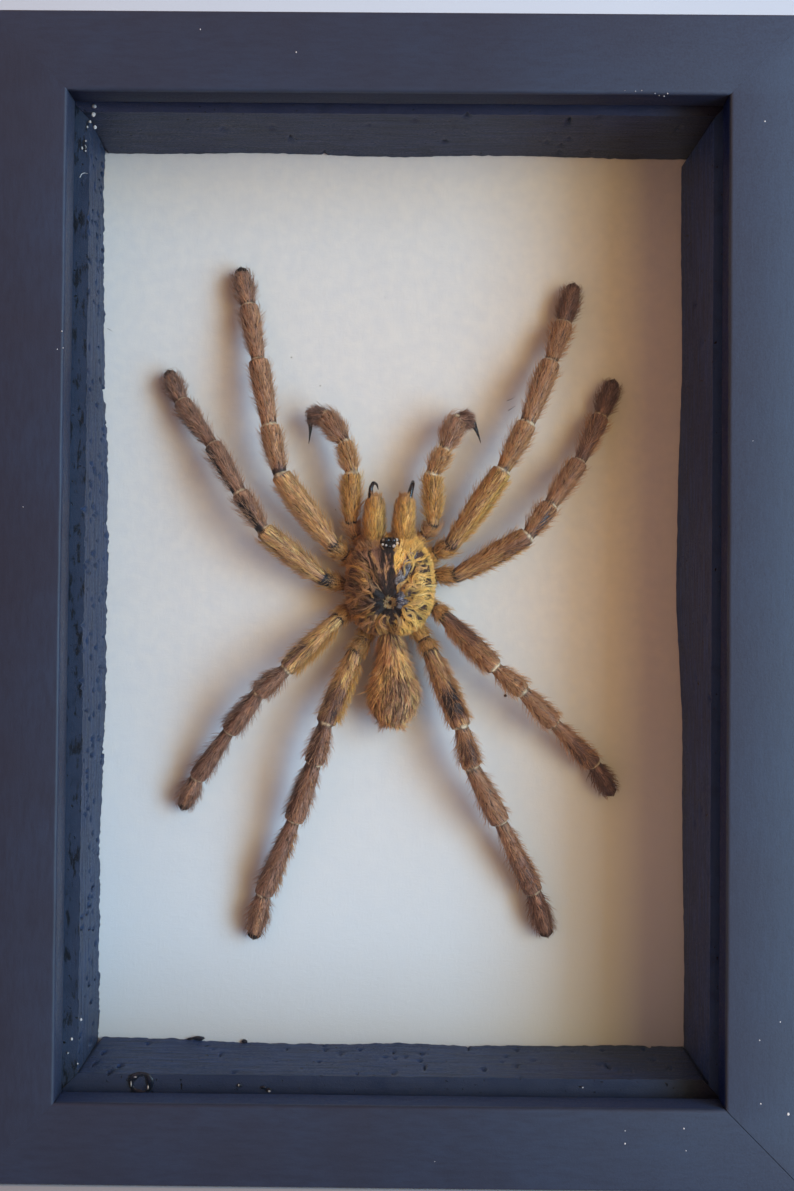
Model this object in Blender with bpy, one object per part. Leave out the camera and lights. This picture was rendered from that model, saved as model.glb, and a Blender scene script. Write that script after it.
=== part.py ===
"""A tarantula specimen, spread on white paper in a deep black wooden box frame.

Metres, +Z up.  The frame stands on its bottom edge and faces -Y; the origin is the middle
of the footprint, on the surface that the frame stands on.
"""

import math

import bmesh
import bpy
from mathutils import Matrix, Vector

MM = 0.001

# Frame: the face of the moulding and the depths of what lies behind it
OPENING_WIDTH = 95.0 * MM
OPENING_HEIGHT = 144.4 * MM
FACE_WIDTH = 11.6 * MM
FRAME_DEPTH = 32.0 * MM
LIP_DEPTH = 4.6 * MM
LIP_OVERHANG = 5.0 * MM
EDGE_ROUND = 0.5 * MM
GAP = 0.3 * MM

OUTER_WIDTH = OPENING_WIDTH + 2 * FACE_WIDTH
OUTER_HEIGHT = OPENING_HEIGHT + 2 * FACE_WIDTH
CENTRE_Z = OUTER_HEIGHT / 2
FRONT_Y = -FRAME_DEPTH / 2

# Layers in the rebate, from the front
GLASS_THICKNESS = 2.0 * MM
SPACER_DEPTH = 17.5 * MM
PAPER_THICKNESS = 0.5 * MM
BOARD_THICKNESS = 3.0 * MM
GLASS_Y = FRONT_Y + LIP_DEPTH + GAP
SPACER_Y = GLASS_Y + GLASS_THICKNESS + GAP
PAPER_Y = SPACER_Y + SPACER_DEPTH + GAP
BOARD_Y = PAPER_Y + PAPER_THICKNESS + GAP
FITTING_Y = BOARD_Y + BOARD_THICKNESS + GAP
REBATE_WIDTH = OPENING_WIDTH + 2 * LIP_OVERHANG
REBATE_HEIGHT = OPENING_HEIGHT + 2 * LIP_OVERHANG

# How far each spacer stands inside the opening, at the glass and at the paper
SPACER_PROUD = {
    "left": (1.5 * MM, 0.1 * MM),
    "right": (0.6 * MM, 0.8 * MM),
    "top": (0.3 * MM, 0.3 * MM),
    "bottom": (1.6 * MM, 0.7 * MM),
}

# Bent tabs that hold the board, and the saw-toothed hanger on it
TAB_LENGTH = 11.0 * MM
TAB_WIDTH = 6.0 * MM
TAB_THICKNESS = 0.6 * MM
TAB_IN_RAIL = 3.0 * MM
TAB_SPREAD = 42.0 * MM
HANGER_WIDTH = 38.0 * MM
HANGER_HEIGHT = 9.0 * MM
HANGER_THICKNESS = 0.8 * MM
HANGER_STAND_OFF = 1.2 * MM
HANGER_TOP_MARGIN = 14.0 * MM
HANGER_TEETH = 7

# Specimen: the middle of the carapace, from the middle of the opening
BODY_X = -0.8 * MM
BODY_Z = CENTRE_Z + 1.2 * MM
CARAPACE_HALF_WIDTH = 7.1 * MM
CARAPACE_HALF_LENGTH = 7.9 * MM
CARAPACE_SQUARENESS = 2.35
CARAPACE_FRONT_SHIFT = 0.7 * MM
CARAPACE_EDGE_HEIGHT = 4.9 * MM
CARAPACE_TOP_HEIGHT = 9.4 * MM
FOVEA_Z = -2.0 * MM
STERNUM_HEIGHT = 0.9 * MM
EYES_Z = 7.2 * MM
EYES_RADIUS = 1.15 * MM
ABDOMEN_FRONT = -8.1 * MM
ABDOMEN_LENGTH = 14.6 * MM
ABDOMEN_SHIFT = 0.8 * MM
ABDOMEN_HALF_WIDTH = 4.4 * MM
ABDOMEN_HALF_HEIGHT = 3.4 * MM
ABDOMEN_HEIGHT = 4.9 * MM
CHELICERA_RADIUS = 1.7 * MM
CHELICERA_HEIGHT = 6.9 * MM
FANG_RADIUS = 0.5 * MM

# Legs: where each leaves the breastplate, where it clears the carapace, and then the length in mm
# and the heading in degrees (0 along +X, 90 along +Z) of trochanter, femur, patella, tibia,
# metatarsus and tarsus.
LEGS = {
    "leg_1_left": (
        (-4.6, 4.3), (-7.2, 5.5),
        ((2.7, 142), (14.0, 127), (7.9, 103), (11.0, 101), (9.6, 102), (6.2, 103)),
    ),
    "leg_2_left": (
        (-4.9, 1.4), (-7.2, 0.8),
        ((3.8, 165), (12.2, 141), (6.9, 123), (9.2, 121), (9.3, 127), (5.3, 115)),
    ),
    "leg_3_left": (
        (-4.6, -1.6), (-6.3, -2.9),
        ((2.8, 222), (11.6, 225), (5.8, 222), (7.9, 232), (9.6, 235), (5.4, 244)),
    ),
    "leg_4_left": (
        (-3.2, -4.6), (-3.9, -7.9),
        ((2.9, 234), (12.1, 248), (6.5, 254), (9.9, 251), (13.3, 248), (7.1, 257)),
    ),
    "leg_1_right": (
        (4.6, 4.3), (7.2, 6.0),
        ((3.0, 26), (14.4, 56), (8.3, 63), (10.9, 69), (7.4, 71), (6.5, 75)),
    ),
    "leg_2_right": (
        (4.9, 1.4), (7.3, 2.6),
        ((3.4, -5), (13.1, 30), (6.0, 54), (8.6, 56), (8.7, 64), (6.1, 69)),
    ),
    "leg_3_right": (
        (4.6, -1.6), (7.2, -2.8),
        ((2.4, -41), (11.5, -45), (5.7, -40), (7.4, -45), (9.7, -45), (5.5, -57)),
    ),
    "leg_4_right": (
        (3.2, -4.6), (5.6, -7.9),
        ((2.4, -64), (12.9, -67), (6.5, -75), (10.1, -62), (12.8, -64), (7.3, -72)),
    ),
}
LEG_HEIGHTS = (3.0, 3.5, 4.8, 7.2, 6.9, 5.2, 2.9, 1.9)
LEG_THICKNESS = {"leg_1": 1.0, "leg_2": 0.93, "leg_3": 0.9, "leg_4": 1.0}

# The radius in mm of each segment where it starts, at its fullest and where it ends
SEGMENT_RADII = (
    (1.15, 1.2, 1.2),
    (1.2, 1.35, 1.25),
    (1.35, 1.7, 1.4),
    (1.3, 1.6, 1.35),
    (1.3, 1.6, 1.25),
    (1.1, 1.45, 1.4),
    (1.35, 1.55, 1.1),
)
LOCKED_SEGMENTS = (2, 3, 4, 5)
JOINT_NECK = 0.78
LEG_SIDES = 8
LIMB_CREASE = 60
LEG_LOCK_RISE = 0.75 * MM
LEG_LOCK_LEAN = 0.8 * MM

PALPS = {
    "pedipalp_left": (
        (-3.0, 6.7), (-5.6, 8.6),
        ((2.4, 108), (7.8, 89), (5.0, 104), (5.6, 125), (2.9, 183)),
        (4.3, 268),
    ),
    "pedipalp_right": (
        (3.0, 6.7), (5.4, 8.9),
        ((2.2, 50), (8.0, 92), (4.4, 62), (5.6, 69), (2.6, -6)),
        (3.6, 295),
    ),
}
PALP_HEIGHTS = (3.0, 3.6, 4.6, 6.0, 5.8, 4.8, 4.0)
PALP_RADII = (
    (0.95, 1.0, 1.0),
    (0.95, 1.05, 1.0),
    (1.1, 1.5, 1.2),
    (1.1, 1.3, 1.1),
    (1.1, 1.4, 1.1),
    (1.0, 1.15, 0.7),
)
EMBOLUS_RADIUS = 0.45 * MM

COLOURS = {
    "frame_paint": ((0.028, 0.031, 0.045, 1.0), 0.45, 0.0),
    "clear_glass": ((0.9, 0.95, 0.95, 1.0), 0.05, 0.0),
    "spacer_paint": ((0.045, 0.055, 0.075, 1.0), 0.75, 0.0),
    "white_paper": ((0.75, 0.77, 0.8, 1.0), 0.9, 0.0),
    "back_board": ((0.34, 0.22, 0.13, 1.0), 0.8, 0.0),
    "zinc_steel": ((0.6, 0.6, 0.6, 1.0), 0.35, 1.0),
    "golden_hair": ((0.42, 0.25, 0.08, 1.0), 0.7, 0.0),
    "leg_hair": ((0.3, 0.18, 0.09, 1.0), 0.75, 0.0),
}


def remove_all():
    """Empties the scene."""
    for thing in list(bpy.data.objects):
        bpy.data.objects.remove(thing, do_unlink=True)


def material(name):
    """A Principled material of one of the part's colours."""
    made = bpy.data.materials.get(name)
    if made:
        return made
    colour, roughness, metallic = COLOURS[name]
    made = bpy.data.materials.new(name)
    made.use_nodes = True
    shader = made.node_tree.nodes["Principled BSDF"]
    shader.inputs["Base Color"].default_value = colour
    shader.inputs["Roughness"].default_value = roughness
    shader.inputs["Metallic"].default_value = metallic
    return made


def face_outwards(bm):
    """Turns all faces to the same side, and that side out."""
    bmesh.ops.recalc_face_normals(bm, faces=bm.faces[:])
    if bm.calc_volume(signed=True) < 0:
        bmesh.ops.reverse_faces(bm, faces=bm.faces[:])


def finish_object(name, bm, finish, smooth=True, crease=40):
    """An object of a bmesh, with its faces outwards and its material."""
    face_outwards(bm)
    mesh = bpy.data.meshes.new(name)
    bm.to_mesh(mesh)
    bm.free()
    mesh.materials.append(material(finish))
    if smooth:
        mesh.shade_smooth()
        mesh.set_sharp_from_angle(angle=math.radians(crease))
    thing = bpy.data.objects.new(name, mesh)
    bpy.context.scene.collection.objects.link(thing)
    return thing


def cuboid(bm, low, high):
    """A box between two corners, added to a bmesh."""
    size = Vector(high) - Vector(low)
    place = Matrix.Translation((Vector(low) + Vector(high)) / 2) @ Matrix.Diagonal((*size, 1.0))
    return bmesh.ops.create_cube(bm, size=1.0, matrix=place)


def cut(target, cutter, kind="DIFFERENCE"):
    """Joins or cuts one object with another and keeps the second as a hidden guide."""
    cutter.hide_render = True
    cutter.display_type = "WIRE"
    change = target.modifiers.new(cutter.name, "BOOLEAN")
    change.operation = kind
    change.solver = "EXACT"
    change.object = cutter


# ---------------------------------------------------------------- frame

def side_matrix(side):
    """Turns a piece drawn for the bottom of the frame to its own side."""
    turns = {"bottom": 0, "right": 90, "top": 180, "left": 270}
    centre = Vector((0.0, 0.0, CENTRE_Z))
    turn = Matrix.Rotation(math.radians(-turns[side]), 4, "Y")
    return Matrix.Translation(centre) @ turn


def side_length(side):
    """Outer length of a rail."""
    return OUTER_WIDTH if side in ("top", "bottom") else OUTER_HEIGHT


def side_reach(side):
    """From the middle of the opening to the outer edge of a rail."""
    return (OUTER_HEIGHT if side in ("top", "bottom") else OUTER_WIDTH) / 2


def mitred_bar(outline, half_length, reach):
    """A bar of an (inward, depth) outline, its ends cut at 45 degrees."""
    bm = bmesh.new()
    first = [bm.verts.new((-(half_length - inward), depth, inward - reach)) for inward, depth in outline]
    face = bm.faces.new(first)
    grown = bmesh.ops.extrude_face_region(bm, geom=[face], use_keep_orig=True)
    for vert in (item for item in grown["geom"] if isinstance(item, bmesh.types.BMVert)):
        vert.co.x = -vert.co.x
    return bm


def long_edges(bm):
    """The edges that run along a bar."""
    return [edge for edge in bm.edges if abs(edge.verts[0].co.x - edge.verts[1].co.x) > FACE_WIDTH]


def rail(side):
    """One mitred rail: a wall with a lip that holds the glass."""
    wall = FACE_WIDTH - LIP_OVERHANG
    back = FRONT_Y + FRAME_DEPTH
    lip = FRONT_Y + LIP_DEPTH
    outline = (
        (0.0, FRONT_Y), (0.0, back), (wall, back), (wall, lip), (FACE_WIDTH, lip), (FACE_WIDTH, FRONT_Y),
    )
    shortened = side_length(side) / 2 - GAP / math.sqrt(2)
    bm = mitred_bar(outline, shortened, side_reach(side))
    rounded = [
        edge for edge in long_edges(bm)
        if abs(edge.verts[0].co.z - (wall - side_reach(side))) > EDGE_ROUND
    ]
    bmesh.ops.bevel(bm, geom=rounded, offset=EDGE_ROUND, offset_type="OFFSET", segments=2,
                    profile=0.5, affect="EDGES", material=-1)
    bm.transform(side_matrix(side))
    return finish_object(f"frame_rail_{side}", bm, "frame_paint")


def tab_places():
    """Side and distance along it of each tab."""
    return (
        ("top", -TAB_SPREAD / 1.5), ("top", TAB_SPREAD / 1.5),
        ("bottom", -TAB_SPREAD / 1.5), ("bottom", TAB_SPREAD / 1.5),
        ("left", -TAB_SPREAD), ("left", TAB_SPREAD),
        ("right", -TAB_SPREAD), ("right", TAB_SPREAD),
    )


def slot_cutter(name, side, along):
    """The slot in a rail that a tab is driven into."""
    reach = side_reach(side)
    wall = FACE_WIDTH - LIP_OVERHANG
    bm = bmesh.new()
    low = (along - TAB_WIDTH / 2 - GAP, FITTING_Y - GAP, wall - TAB_IN_RAIL - GAP - reach)
    high = (along + TAB_WIDTH / 2 + GAP, FITTING_Y + TAB_THICKNESS + GAP, wall + 1.0 * MM - reach)
    cuboid(bm, low, high)
    bm.transform(side_matrix(side))
    return finish_object(name, bm, "frame_paint", smooth=False)


def tab(name, side, along):
    """A flat steel point, driven into the rail, with a round free end."""
    reach = side_reach(side)
    start = FACE_WIDTH - LIP_OVERHANG - TAB_IN_RAIL - reach
    half = TAB_WIDTH / 2
    bend = half / 2
    bm = bmesh.new()
    outline = [(-half, start), (-half, start + TAB_LENGTH - bend), (-half + bend, start + TAB_LENGTH),
               (half - bend, start + TAB_LENGTH), (half, start + TAB_LENGTH - bend), (half, start)]
    face = bm.faces.new([bm.verts.new((along + x, FITTING_Y, z)) for x, z in outline])
    grown = bmesh.ops.extrude_face_region(bm, geom=[face], use_keep_orig=True)
    moved = [item for item in grown["geom"] if isinstance(item, bmesh.types.BMVert)]
    bmesh.ops.translate(bm, verts=moved, vec=(0.0, TAB_THICKNESS, 0.0))
    bm.transform(side_matrix(side))
    return finish_object(name, bm, "zinc_steel", smooth=False)


def spacer(side):
    """A strip between glass and paper, its inner face leaning as in SPACER_PROUD."""
    at_glass, at_paper = SPACER_PROUD[side]
    outer = FACE_WIDTH - LIP_OVERHANG + GAP
    back = SPACER_Y + SPACER_DEPTH
    outline = (
        (outer, SPACER_Y), (outer, back), (FACE_WIDTH + at_paper, back), (FACE_WIDTH + at_glass, SPACER_Y),
    )
    shortened = side_length(side) / 2 - GAP / math.sqrt(2)
    bm = mitred_bar(outline, shortened, side_reach(side))
    bm.transform(side_matrix(side))
    return finish_object(f"spacer_{side}", bm, "spacer_paint", smooth=False)


def sheet(name, front, thickness, finish):
    """A flat sheet that fills the rebate."""
    half_width = REBATE_WIDTH / 2 - GAP
    half_height = REBATE_HEIGHT / 2 - GAP
    bm = bmesh.new()
    cuboid(bm, (-half_width, front, CENTRE_Z - half_height),
           (half_width, front + thickness, CENTRE_Z + half_height))
    return finish_object(name, bm, finish, smooth=False)


def hanger():
    """A saw-toothed plate whose middle stands off the board, with two rivets."""
    half = HANGER_WIDTH / 2
    foot = half * 0.62
    knee = half * 0.5
    rise = HANGER_STAND_OFF
    thick = HANGER_THICKNESS
    base = FITTING_Y
    top = CENTRE_Z + REBATE_HEIGHT / 2 - HANGER_TOP_MARGIN
    outline = (
        (-half, 0), (-foot, 0), (-knee, rise), (knee, rise), (foot, 0), (half, 0),
        (half, thick), (foot, thick), (knee, rise + thick), (-knee, rise + thick), (-foot, thick),
        (-half, thick),
    )
    bm = bmesh.new()
    face = bm.faces.new([bm.verts.new((x, base + y, top)) for x, y in outline])
    grown = bmesh.ops.extrude_face_region(bm, geom=[face], use_keep_orig=True)
    moved = [item for item in grown["geom"] if isinstance(item, bmesh.types.BMVert)]
    bmesh.ops.translate(bm, verts=moved, vec=(0.0, 0.0, -HANGER_HEIGHT))
    plate = finish_object("sawtooth_hanger", bm, "zinc_steel", smooth=False)

    teeth = bmesh.new()
    pitch = 2 * knee * 0.86 / HANGER_TEETH
    first = -pitch * (HANGER_TEETH - 1) / 2
    for number in range(HANGER_TEETH):
        x = first + number * pitch
        low = top - HANGER_HEIGHT - 1.0 * MM
        corners = [(x - pitch * 0.46, low), (x + pitch * 0.46, low), (x, top - HANGER_HEIGHT * 0.66)]
        face = teeth.faces.new([teeth.verts.new((cx, base - 1.0 * MM, cz)) for cx, cz in corners])
        grown = bmesh.ops.extrude_face_region(teeth, geom=[face], use_keep_orig=True)
        moved = [item for item in grown["geom"] if isinstance(item, bmesh.types.BMVert)]
        bmesh.ops.translate(teeth, verts=moved, vec=(0.0, 5.0 * MM, 0.0))
    cut(plate, finish_object("hanger_teeth_cut", teeth, "zinc_steel", smooth=False))

    rivets = bmesh.new()
    for sign in (-1, 1):
        place = Matrix.Translation((sign * half * 0.81, base + thick, top - HANGER_HEIGHT / 2))
        bmesh.ops.create_uvsphere(rivets, u_segments=10, v_segments=6, radius=1.1 * MM,
                                  matrix=place @ Matrix.Diagonal((1.0, 0.5, 1.0, 1.0)))
    cut(plate, finish_object("hanger_rivets", rivets, "zinc_steel"), "UNION")
    return plate


# ---------------------------------------------------------------- specimen

def at(x, z, height):
    """A point of the specimen: mm from the middle of the carapace, and height over the paper."""
    return Vector((BODY_X + x * MM, PAPER_Y - height * MM, BODY_Z + z * MM))


def ring_matrix(centre, direction, wide, high):
    """Places a unit ring square to a direction: wide across the paper, high off it."""
    ahead = direction.normalized()
    across = ahead.cross(Vector((0.0, -1.0, 0.0))).normalized()
    up = across.cross(ahead).normalized()
    turn = Matrix((across, up, ahead)).transposed().to_4x4()
    return Matrix.Translation(centre) @ turn @ Matrix.Diagonal((wide, high, 1.0, 1.0))


def swept(stations, sides):
    """A closed limb through (centre, direction, half width, half height) stations."""
    bm = bmesh.new()
    half_turn = Matrix.Rotation(math.pi / sides, 4, "Z")
    bmesh.ops.create_circle(bm, segments=sides, radius=1.0, matrix=half_turn)
    place = ring_matrix(*stations[0])
    bm.transform(place)
    edges = bm.edges[:]
    for station in stations[1:]:
        grown = bmesh.ops.extrude_edge_only(bm, edges=edges)
        verts = {item for item in grown["geom"] if isinstance(item, bmesh.types.BMVert)}
        edges = [edge for edge in bm.edges if edge.verts[0] in verts and edge.verts[1] in verts]
        following = ring_matrix(*station)
        bmesh.ops.transform(bm, matrix=following @ place.inverted(), verts=list(verts))
        place = following
    bmesh.ops.holes_fill(bm, edges=bm.edges[:], sides=sides)
    face_outwards(bm)
    return bm


def limb_points(root, start, segments, heights):
    """The joints of a limb, walked from its root by lengths and headings."""
    x, z = start
    flat = [root, start]
    for (length, heading), low, high in zip(segments, heights[1:], heights[2:]):
        run = math.sqrt(max(length ** 2 - (high - low) ** 2, 0.0))
        x += run * math.cos(math.radians(heading))
        z += run * math.sin(math.radians(heading))
        flat.append((x, z))
    return [at(x, z, height) for (x, z), height in zip(flat, heights)]


def limb_stations(points, radii, thickness=1.0, tip=0.45):
    """Rings of a jointed limb: a narrow ring at each joint and a fuller one between."""
    stations = []
    last = len(points) - 2
    for number, (start, end) in enumerate(zip(points, points[1:])):
        run = end - start
        before = start - points[number - 1] if number else run
        neck = JOINT_NECK if number > 1 else 1.0
        first, middle, final = (radius * thickness * MM for radius in radii[number])
        stations.append((start, before.normalized() + run.normalized(), first * neck, first * neck))
        stations.append((start + run * 0.14, run, first, first))
        if number:
            stations.append((start + run * 0.38, run, (first + 2 * middle) / 3, middle * 0.95))
        stations.append((start + run * 0.62, run, middle, middle * 0.95))
        stations.append((start + run * 0.86, run, final, final))
        if number == last:
            stations.append((end, run, final * tip * 1.6, final * tip * 1.6))
            stations.append((end + run.normalized() * final * 0.35, run, final * tip, final * tip))
    return stations


def raise_locks(bm, chosen, ahead_of, rise, lean):
    """Draws each chosen face out to a lock of hair that leans backwards."""
    lifted = []
    for face in chosen:
        normal = face.normal.copy()
        ahead = ahead_of(face.calc_center_median())
        grown = bmesh.ops.extrude_discrete_faces(bm, faces=[face])
        lifted.append((grown["faces"][0], normal, ahead))
    for face, normal, ahead in lifted:
        centre = face.calc_center_median()
        bmesh.ops.scale(bm, vec=(0.22, 0.22, 0.22), verts=face.verts,
                        space=Matrix.Translation(-centre))
        bmesh.ops.translate(bm, verts=face.verts, vec=normal * rise + ahead * lean)


def leg(name, thickness):
    """One walking leg: coxa to tarsus in a single hairy limb, with combed locks at its sides."""
    root, start, segments = LEGS[name]
    points = limb_points(root, start, segments, LEG_HEIGHTS)
    bm = swept(limb_stations(points, SEGMENT_RADII, thickness), LEG_SIDES)
    chosen = []
    for number in LOCKED_SEGMENTS:
        base, end = points[number], points[number + 1]
        run = end - base
        across = run.normalized().cross(Vector((0.0, -1.0, 0.0)))
        for face in bm.faces:
            offset = face.calc_center_median() - base
            along = offset.dot(run) / run.length_squared
            sideways = abs(face.normal.dot(across))
            if 0.14 < along < 0.86 and sideways > 0.9 and offset.length < run.length:
                chosen.append(face)
    ahead = (points[-1] - points[2]).normalized()
    raise_locks(bm, sorted(set(chosen), key=lambda face: face.index), lambda _: ahead,
                LEG_LOCK_RISE, LEG_LOCK_LEAN)
    return finish_object(name, bm, "leg_hair", crease=LIMB_CREASE)


def pedipalp(name):
    """A pedipalp with its bulb and the black spike under its end."""
    root, start, segments, (spike, spike_heading) = PALPS[name]
    points = limb_points(root, start, segments, PALP_HEIGHTS)
    bm = swept(limb_stations(points, PALP_RADII, tip=0.6), LEG_SIDES)
    palp = finish_object(name, bm, "golden_hair", crease=LIMB_CREASE)
    turn = math.radians(spike_heading)
    run = Vector((math.cos(turn), 0.12, math.sin(turn))) * spike * MM
    base = points[-1] - run * 0.12 + Vector((0.0, 0.3 * MM, 0.0))
    stations = [
        (base, run, EMBOLUS_RADIUS * 1.3, EMBOLUS_RADIUS * 1.3),
        (base + run * 0.35, run, EMBOLUS_RADIUS, EMBOLUS_RADIUS),
        (base + run * 1.12, run, EMBOLUS_RADIUS * 0.2, EMBOLUS_RADIUS * 0.2),
    ]
    cut(palp, finish_object(f"{name}_spike", swept(stations, 8), "golden_hair"), "UNION")
    return palp


def chelicera(name, x, fang_x):
    """A jaw in front of the carapace, with its fang."""
    radius = CHELICERA_RADIUS
    height = CHELICERA_HEIGHT / MM
    base = at(x, 8.95, height)
    tip = at(x, 15.2, height - 0.6)
    run = tip - base
    stations = [
        (base, run, radius * 0.9, radius * 0.9),
        (base + run * 0.12, run, radius * 0.98, radius),
        (base + run * 0.5, run, radius, radius * 1.05),
        (base + run * 0.85, run, radius * 0.9, radius * 0.95),
        (tip, run, radius * 0.5, radius * 0.55),
    ]
    jaw = finish_object(name, swept(stations, 12), "golden_hair")
    root = at(fang_x, 14.6, height - 1.2)
    bend = at(fang_x, 16.4, height - 1.7)
    point = at(fang_x * 0.9, 17.2, height - 2.9)
    stations = [
        (root, bend - root, FANG_RADIUS * 1.2, FANG_RADIUS * 1.2),
        (bend, point - root, FANG_RADIUS, FANG_RADIUS),
        (point, point - bend, FANG_RADIUS * 0.3, FANG_RADIUS * 0.3),
    ]
    cut(jaw, finish_object(f"{name}_fang", swept(stations, 8), "golden_hair"), "UNION")
    return jaw


def carapace_outline(sides):
    """Unit outline of the carapace: a squarish oval with a notch at the rear."""
    power = 2.0 / CARAPACE_SQUARENESS
    for number in range(sides):
        angle = 2 * math.pi * number / sides
        across, along = math.cos(angle), math.sin(angle)
        x = math.copysign(abs(across) ** power, across)
        z = math.copysign(abs(along) ** power, along)
        notch = 0.09 * math.exp(-(x / 0.2) ** 2) if along < 0 else 0.0
        yield x, z + notch


def cephalothorax():
    """The carapace over its breastplate, with the fovea and the eye mound."""
    sides = 28
    low = STERNUM_HEIGHT / MM
    edge = CARAPACE_EDGE_HEIGHT / MM
    top = CARAPACE_TOP_HEIGHT / MM
    fovea = FOVEA_Z / MM
    rings = (
        (0.2, low, 0.0), (0.4, low + 0.2, 0.0), (0.44, low + 0.7, 0.0), (0.44, edge - 0.4, 0.0),
        (0.86, edge, 0.0), (0.97, edge + 0.25, 0.0), (1.0, edge + 0.8, 0.0), (0.95, edge + 1.7, 0.1),
        (0.82, edge + 2.9, 0.2), (0.62, top - 0.5, 0.5), (0.4, top, 0.8), (0.2, top - 0.15, 1.0),
        (0.07, top - 0.9, 1.0),
    )
    bm = bmesh.new()
    outline = list(carapace_outline(sides))
    verts = [bm.verts.new((x, 0.0, z)) for x, z in outline]
    edges = [bm.edges.new((verts[n], verts[(n + 1) % sides])) for n in range(sides)]
    place = Matrix.Identity(4)
    for number, (share, height, drift) in enumerate(rings):
        centre = at(0.0, CARAPACE_FRONT_SHIFT / MM + (fovea - CARAPACE_FRONT_SHIFT / MM) * drift, height)
        size = Matrix.Diagonal((share * CARAPACE_HALF_WIDTH, 1.0, share * CARAPACE_HALF_LENGTH, 1.0))
        following = Matrix.Translation(centre) @ size
        if number:
            grown = bmesh.ops.extrude_edge_only(bm, edges=edges)
            moved = {item for item in grown["geom"] if isinstance(item, bmesh.types.BMVert)}
            edges = [edge for edge in bm.edges if edge.verts[0] in moved and edge.verts[1] in moved]
        else:
            moved = set(verts)
        bmesh.ops.transform(bm, matrix=following @ place.inverted(), verts=list(moved))
        place = following
    bmesh.ops.holes_fill(bm, edges=bm.edges[:], sides=sides)
    body = finish_object("cephalothorax", bm, "golden_hair")

    mound = bmesh.new()
    centre = at(0.0, EYES_Z / MM, edge + 2.1)
    size = Matrix.Diagonal((1.1, 1.0, 0.8, 1.0))
    bmesh.ops.create_uvsphere(mound, u_segments=14, v_segments=8, radius=EYES_RADIUS,
                              matrix=Matrix.Translation(centre) @ size)
    cut(body, finish_object("eye_mound", mound, "golden_hair"), "UNION")
    return body


def abdomen():
    """The abdomen: narrow at the waist, square at the spinnerets, with combed locks."""
    length = ABDOMEN_LENGTH
    wide = ABDOMEN_HALF_WIDTH
    high = ABDOMEN_HALF_HEIGHT
    back = Vector((0.0, 0.0, -1.0))
    profile = (
        (0.0, 0.36, 0.45, 0.0), (0.05, 0.5, 0.6, 0.0), (0.16, 0.6, 0.76, 0.1), (0.3, 0.76, 0.9, 0.3),
        (0.44, 0.93, 0.98, 0.6), (0.58, 1.0, 1.0, 0.9), (0.7, 0.97, 0.96, 1.0), (0.81, 0.84, 0.85, 1.0),
        (0.9, 0.66, 0.68, 1.0), (0.96, 0.46, 0.5, 1.0), (1.0, 0.3, 0.34, 1.0),
    )
    stations = [
        (at(ABDOMEN_SHIFT / MM * shift, 0.0, ABDOMEN_HEIGHT / MM)
         + back * (-ABDOMEN_FRONT + share * length), back, wide * across, high * up)
        for share, across, up, shift in profile
    ]
    bm = swept(stations, 16)
    bm.faces.ensure_lookup_table()
    chosen = [
        face for face in bm.faces
        if len(face.verts) == 4 and face.normal.y < 0.35
        and face.calc_center_median().z < BODY_Z + ABDOMEN_FRONT - 0.1 * length
        and (face.index + face.index // 16) % 2 == 0
    ]
    raise_locks(bm, chosen, lambda _: back, 0.45 * MM, 1.3 * MM)
    return finish_object("abdomen", bm, "golden_hair")


def main():
    """Builds the frame from front to back, and then the specimen."""
    remove_all()
    rails = {side: rail(side) for side in ("top", "bottom", "left", "right")}
    for side in rails:
        spacer(side)
    sheet("glass_pane", GLASS_Y, GLASS_THICKNESS, "clear_glass")
    sheet("backing_paper", PAPER_Y, PAPER_THICKNESS, "white_paper")
    sheet("backing_board", BOARD_Y, BOARD_THICKNESS, "back_board")
    for number, (side, along) in enumerate(tab_places(), start=1):
        tab(f"bent_tab_{number}", side, along)
        cut(rails[side], slot_cutter(f"tab_slot_{number}", side, along))
    hanger()

    cephalothorax()
    abdomen()
    for name in LEGS:
        leg(name, LEG_THICKNESS[name[:5]])
    for name in PALPS:
        pedipalp(name)
    chelicera("chelicera_left", -2.5, -2.9)
    chelicera("chelicera_right", 2.0, 3.0)


main()
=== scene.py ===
"""The looks of a framed tarantula specimen: a dried spider on white paper in a deep painted box frame.

Metres, +Z up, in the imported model's own frame.  The box frame stands on its bottom edge and faces -Y.
Places on the specimen are in millimetres from the middle of the carapace, with a height over the paper.
"""

import logging
import math
from abc import ABC, abstractmethod
from dataclasses import dataclass, field
from enum import Enum
from typing import Callable, Sequence

import bmesh
import bpy
import numpy as np
from mathutils import Matrix, Vector, noise


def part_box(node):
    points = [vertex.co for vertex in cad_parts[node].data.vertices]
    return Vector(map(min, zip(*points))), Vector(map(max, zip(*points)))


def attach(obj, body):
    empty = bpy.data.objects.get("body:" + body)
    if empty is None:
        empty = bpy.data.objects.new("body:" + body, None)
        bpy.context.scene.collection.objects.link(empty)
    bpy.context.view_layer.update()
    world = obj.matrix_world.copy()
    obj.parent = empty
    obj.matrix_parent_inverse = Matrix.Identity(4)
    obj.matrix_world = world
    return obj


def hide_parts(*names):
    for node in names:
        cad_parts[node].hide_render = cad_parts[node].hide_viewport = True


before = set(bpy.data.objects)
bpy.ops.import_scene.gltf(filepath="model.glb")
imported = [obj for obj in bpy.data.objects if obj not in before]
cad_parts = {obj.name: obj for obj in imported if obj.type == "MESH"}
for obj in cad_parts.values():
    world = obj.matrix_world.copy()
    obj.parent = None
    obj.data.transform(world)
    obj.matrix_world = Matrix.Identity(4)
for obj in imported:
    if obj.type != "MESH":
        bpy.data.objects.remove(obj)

LOG = logging.getLogger("specimen")
MM = 0.001
BAKE_MAP = "OFBake"
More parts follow.
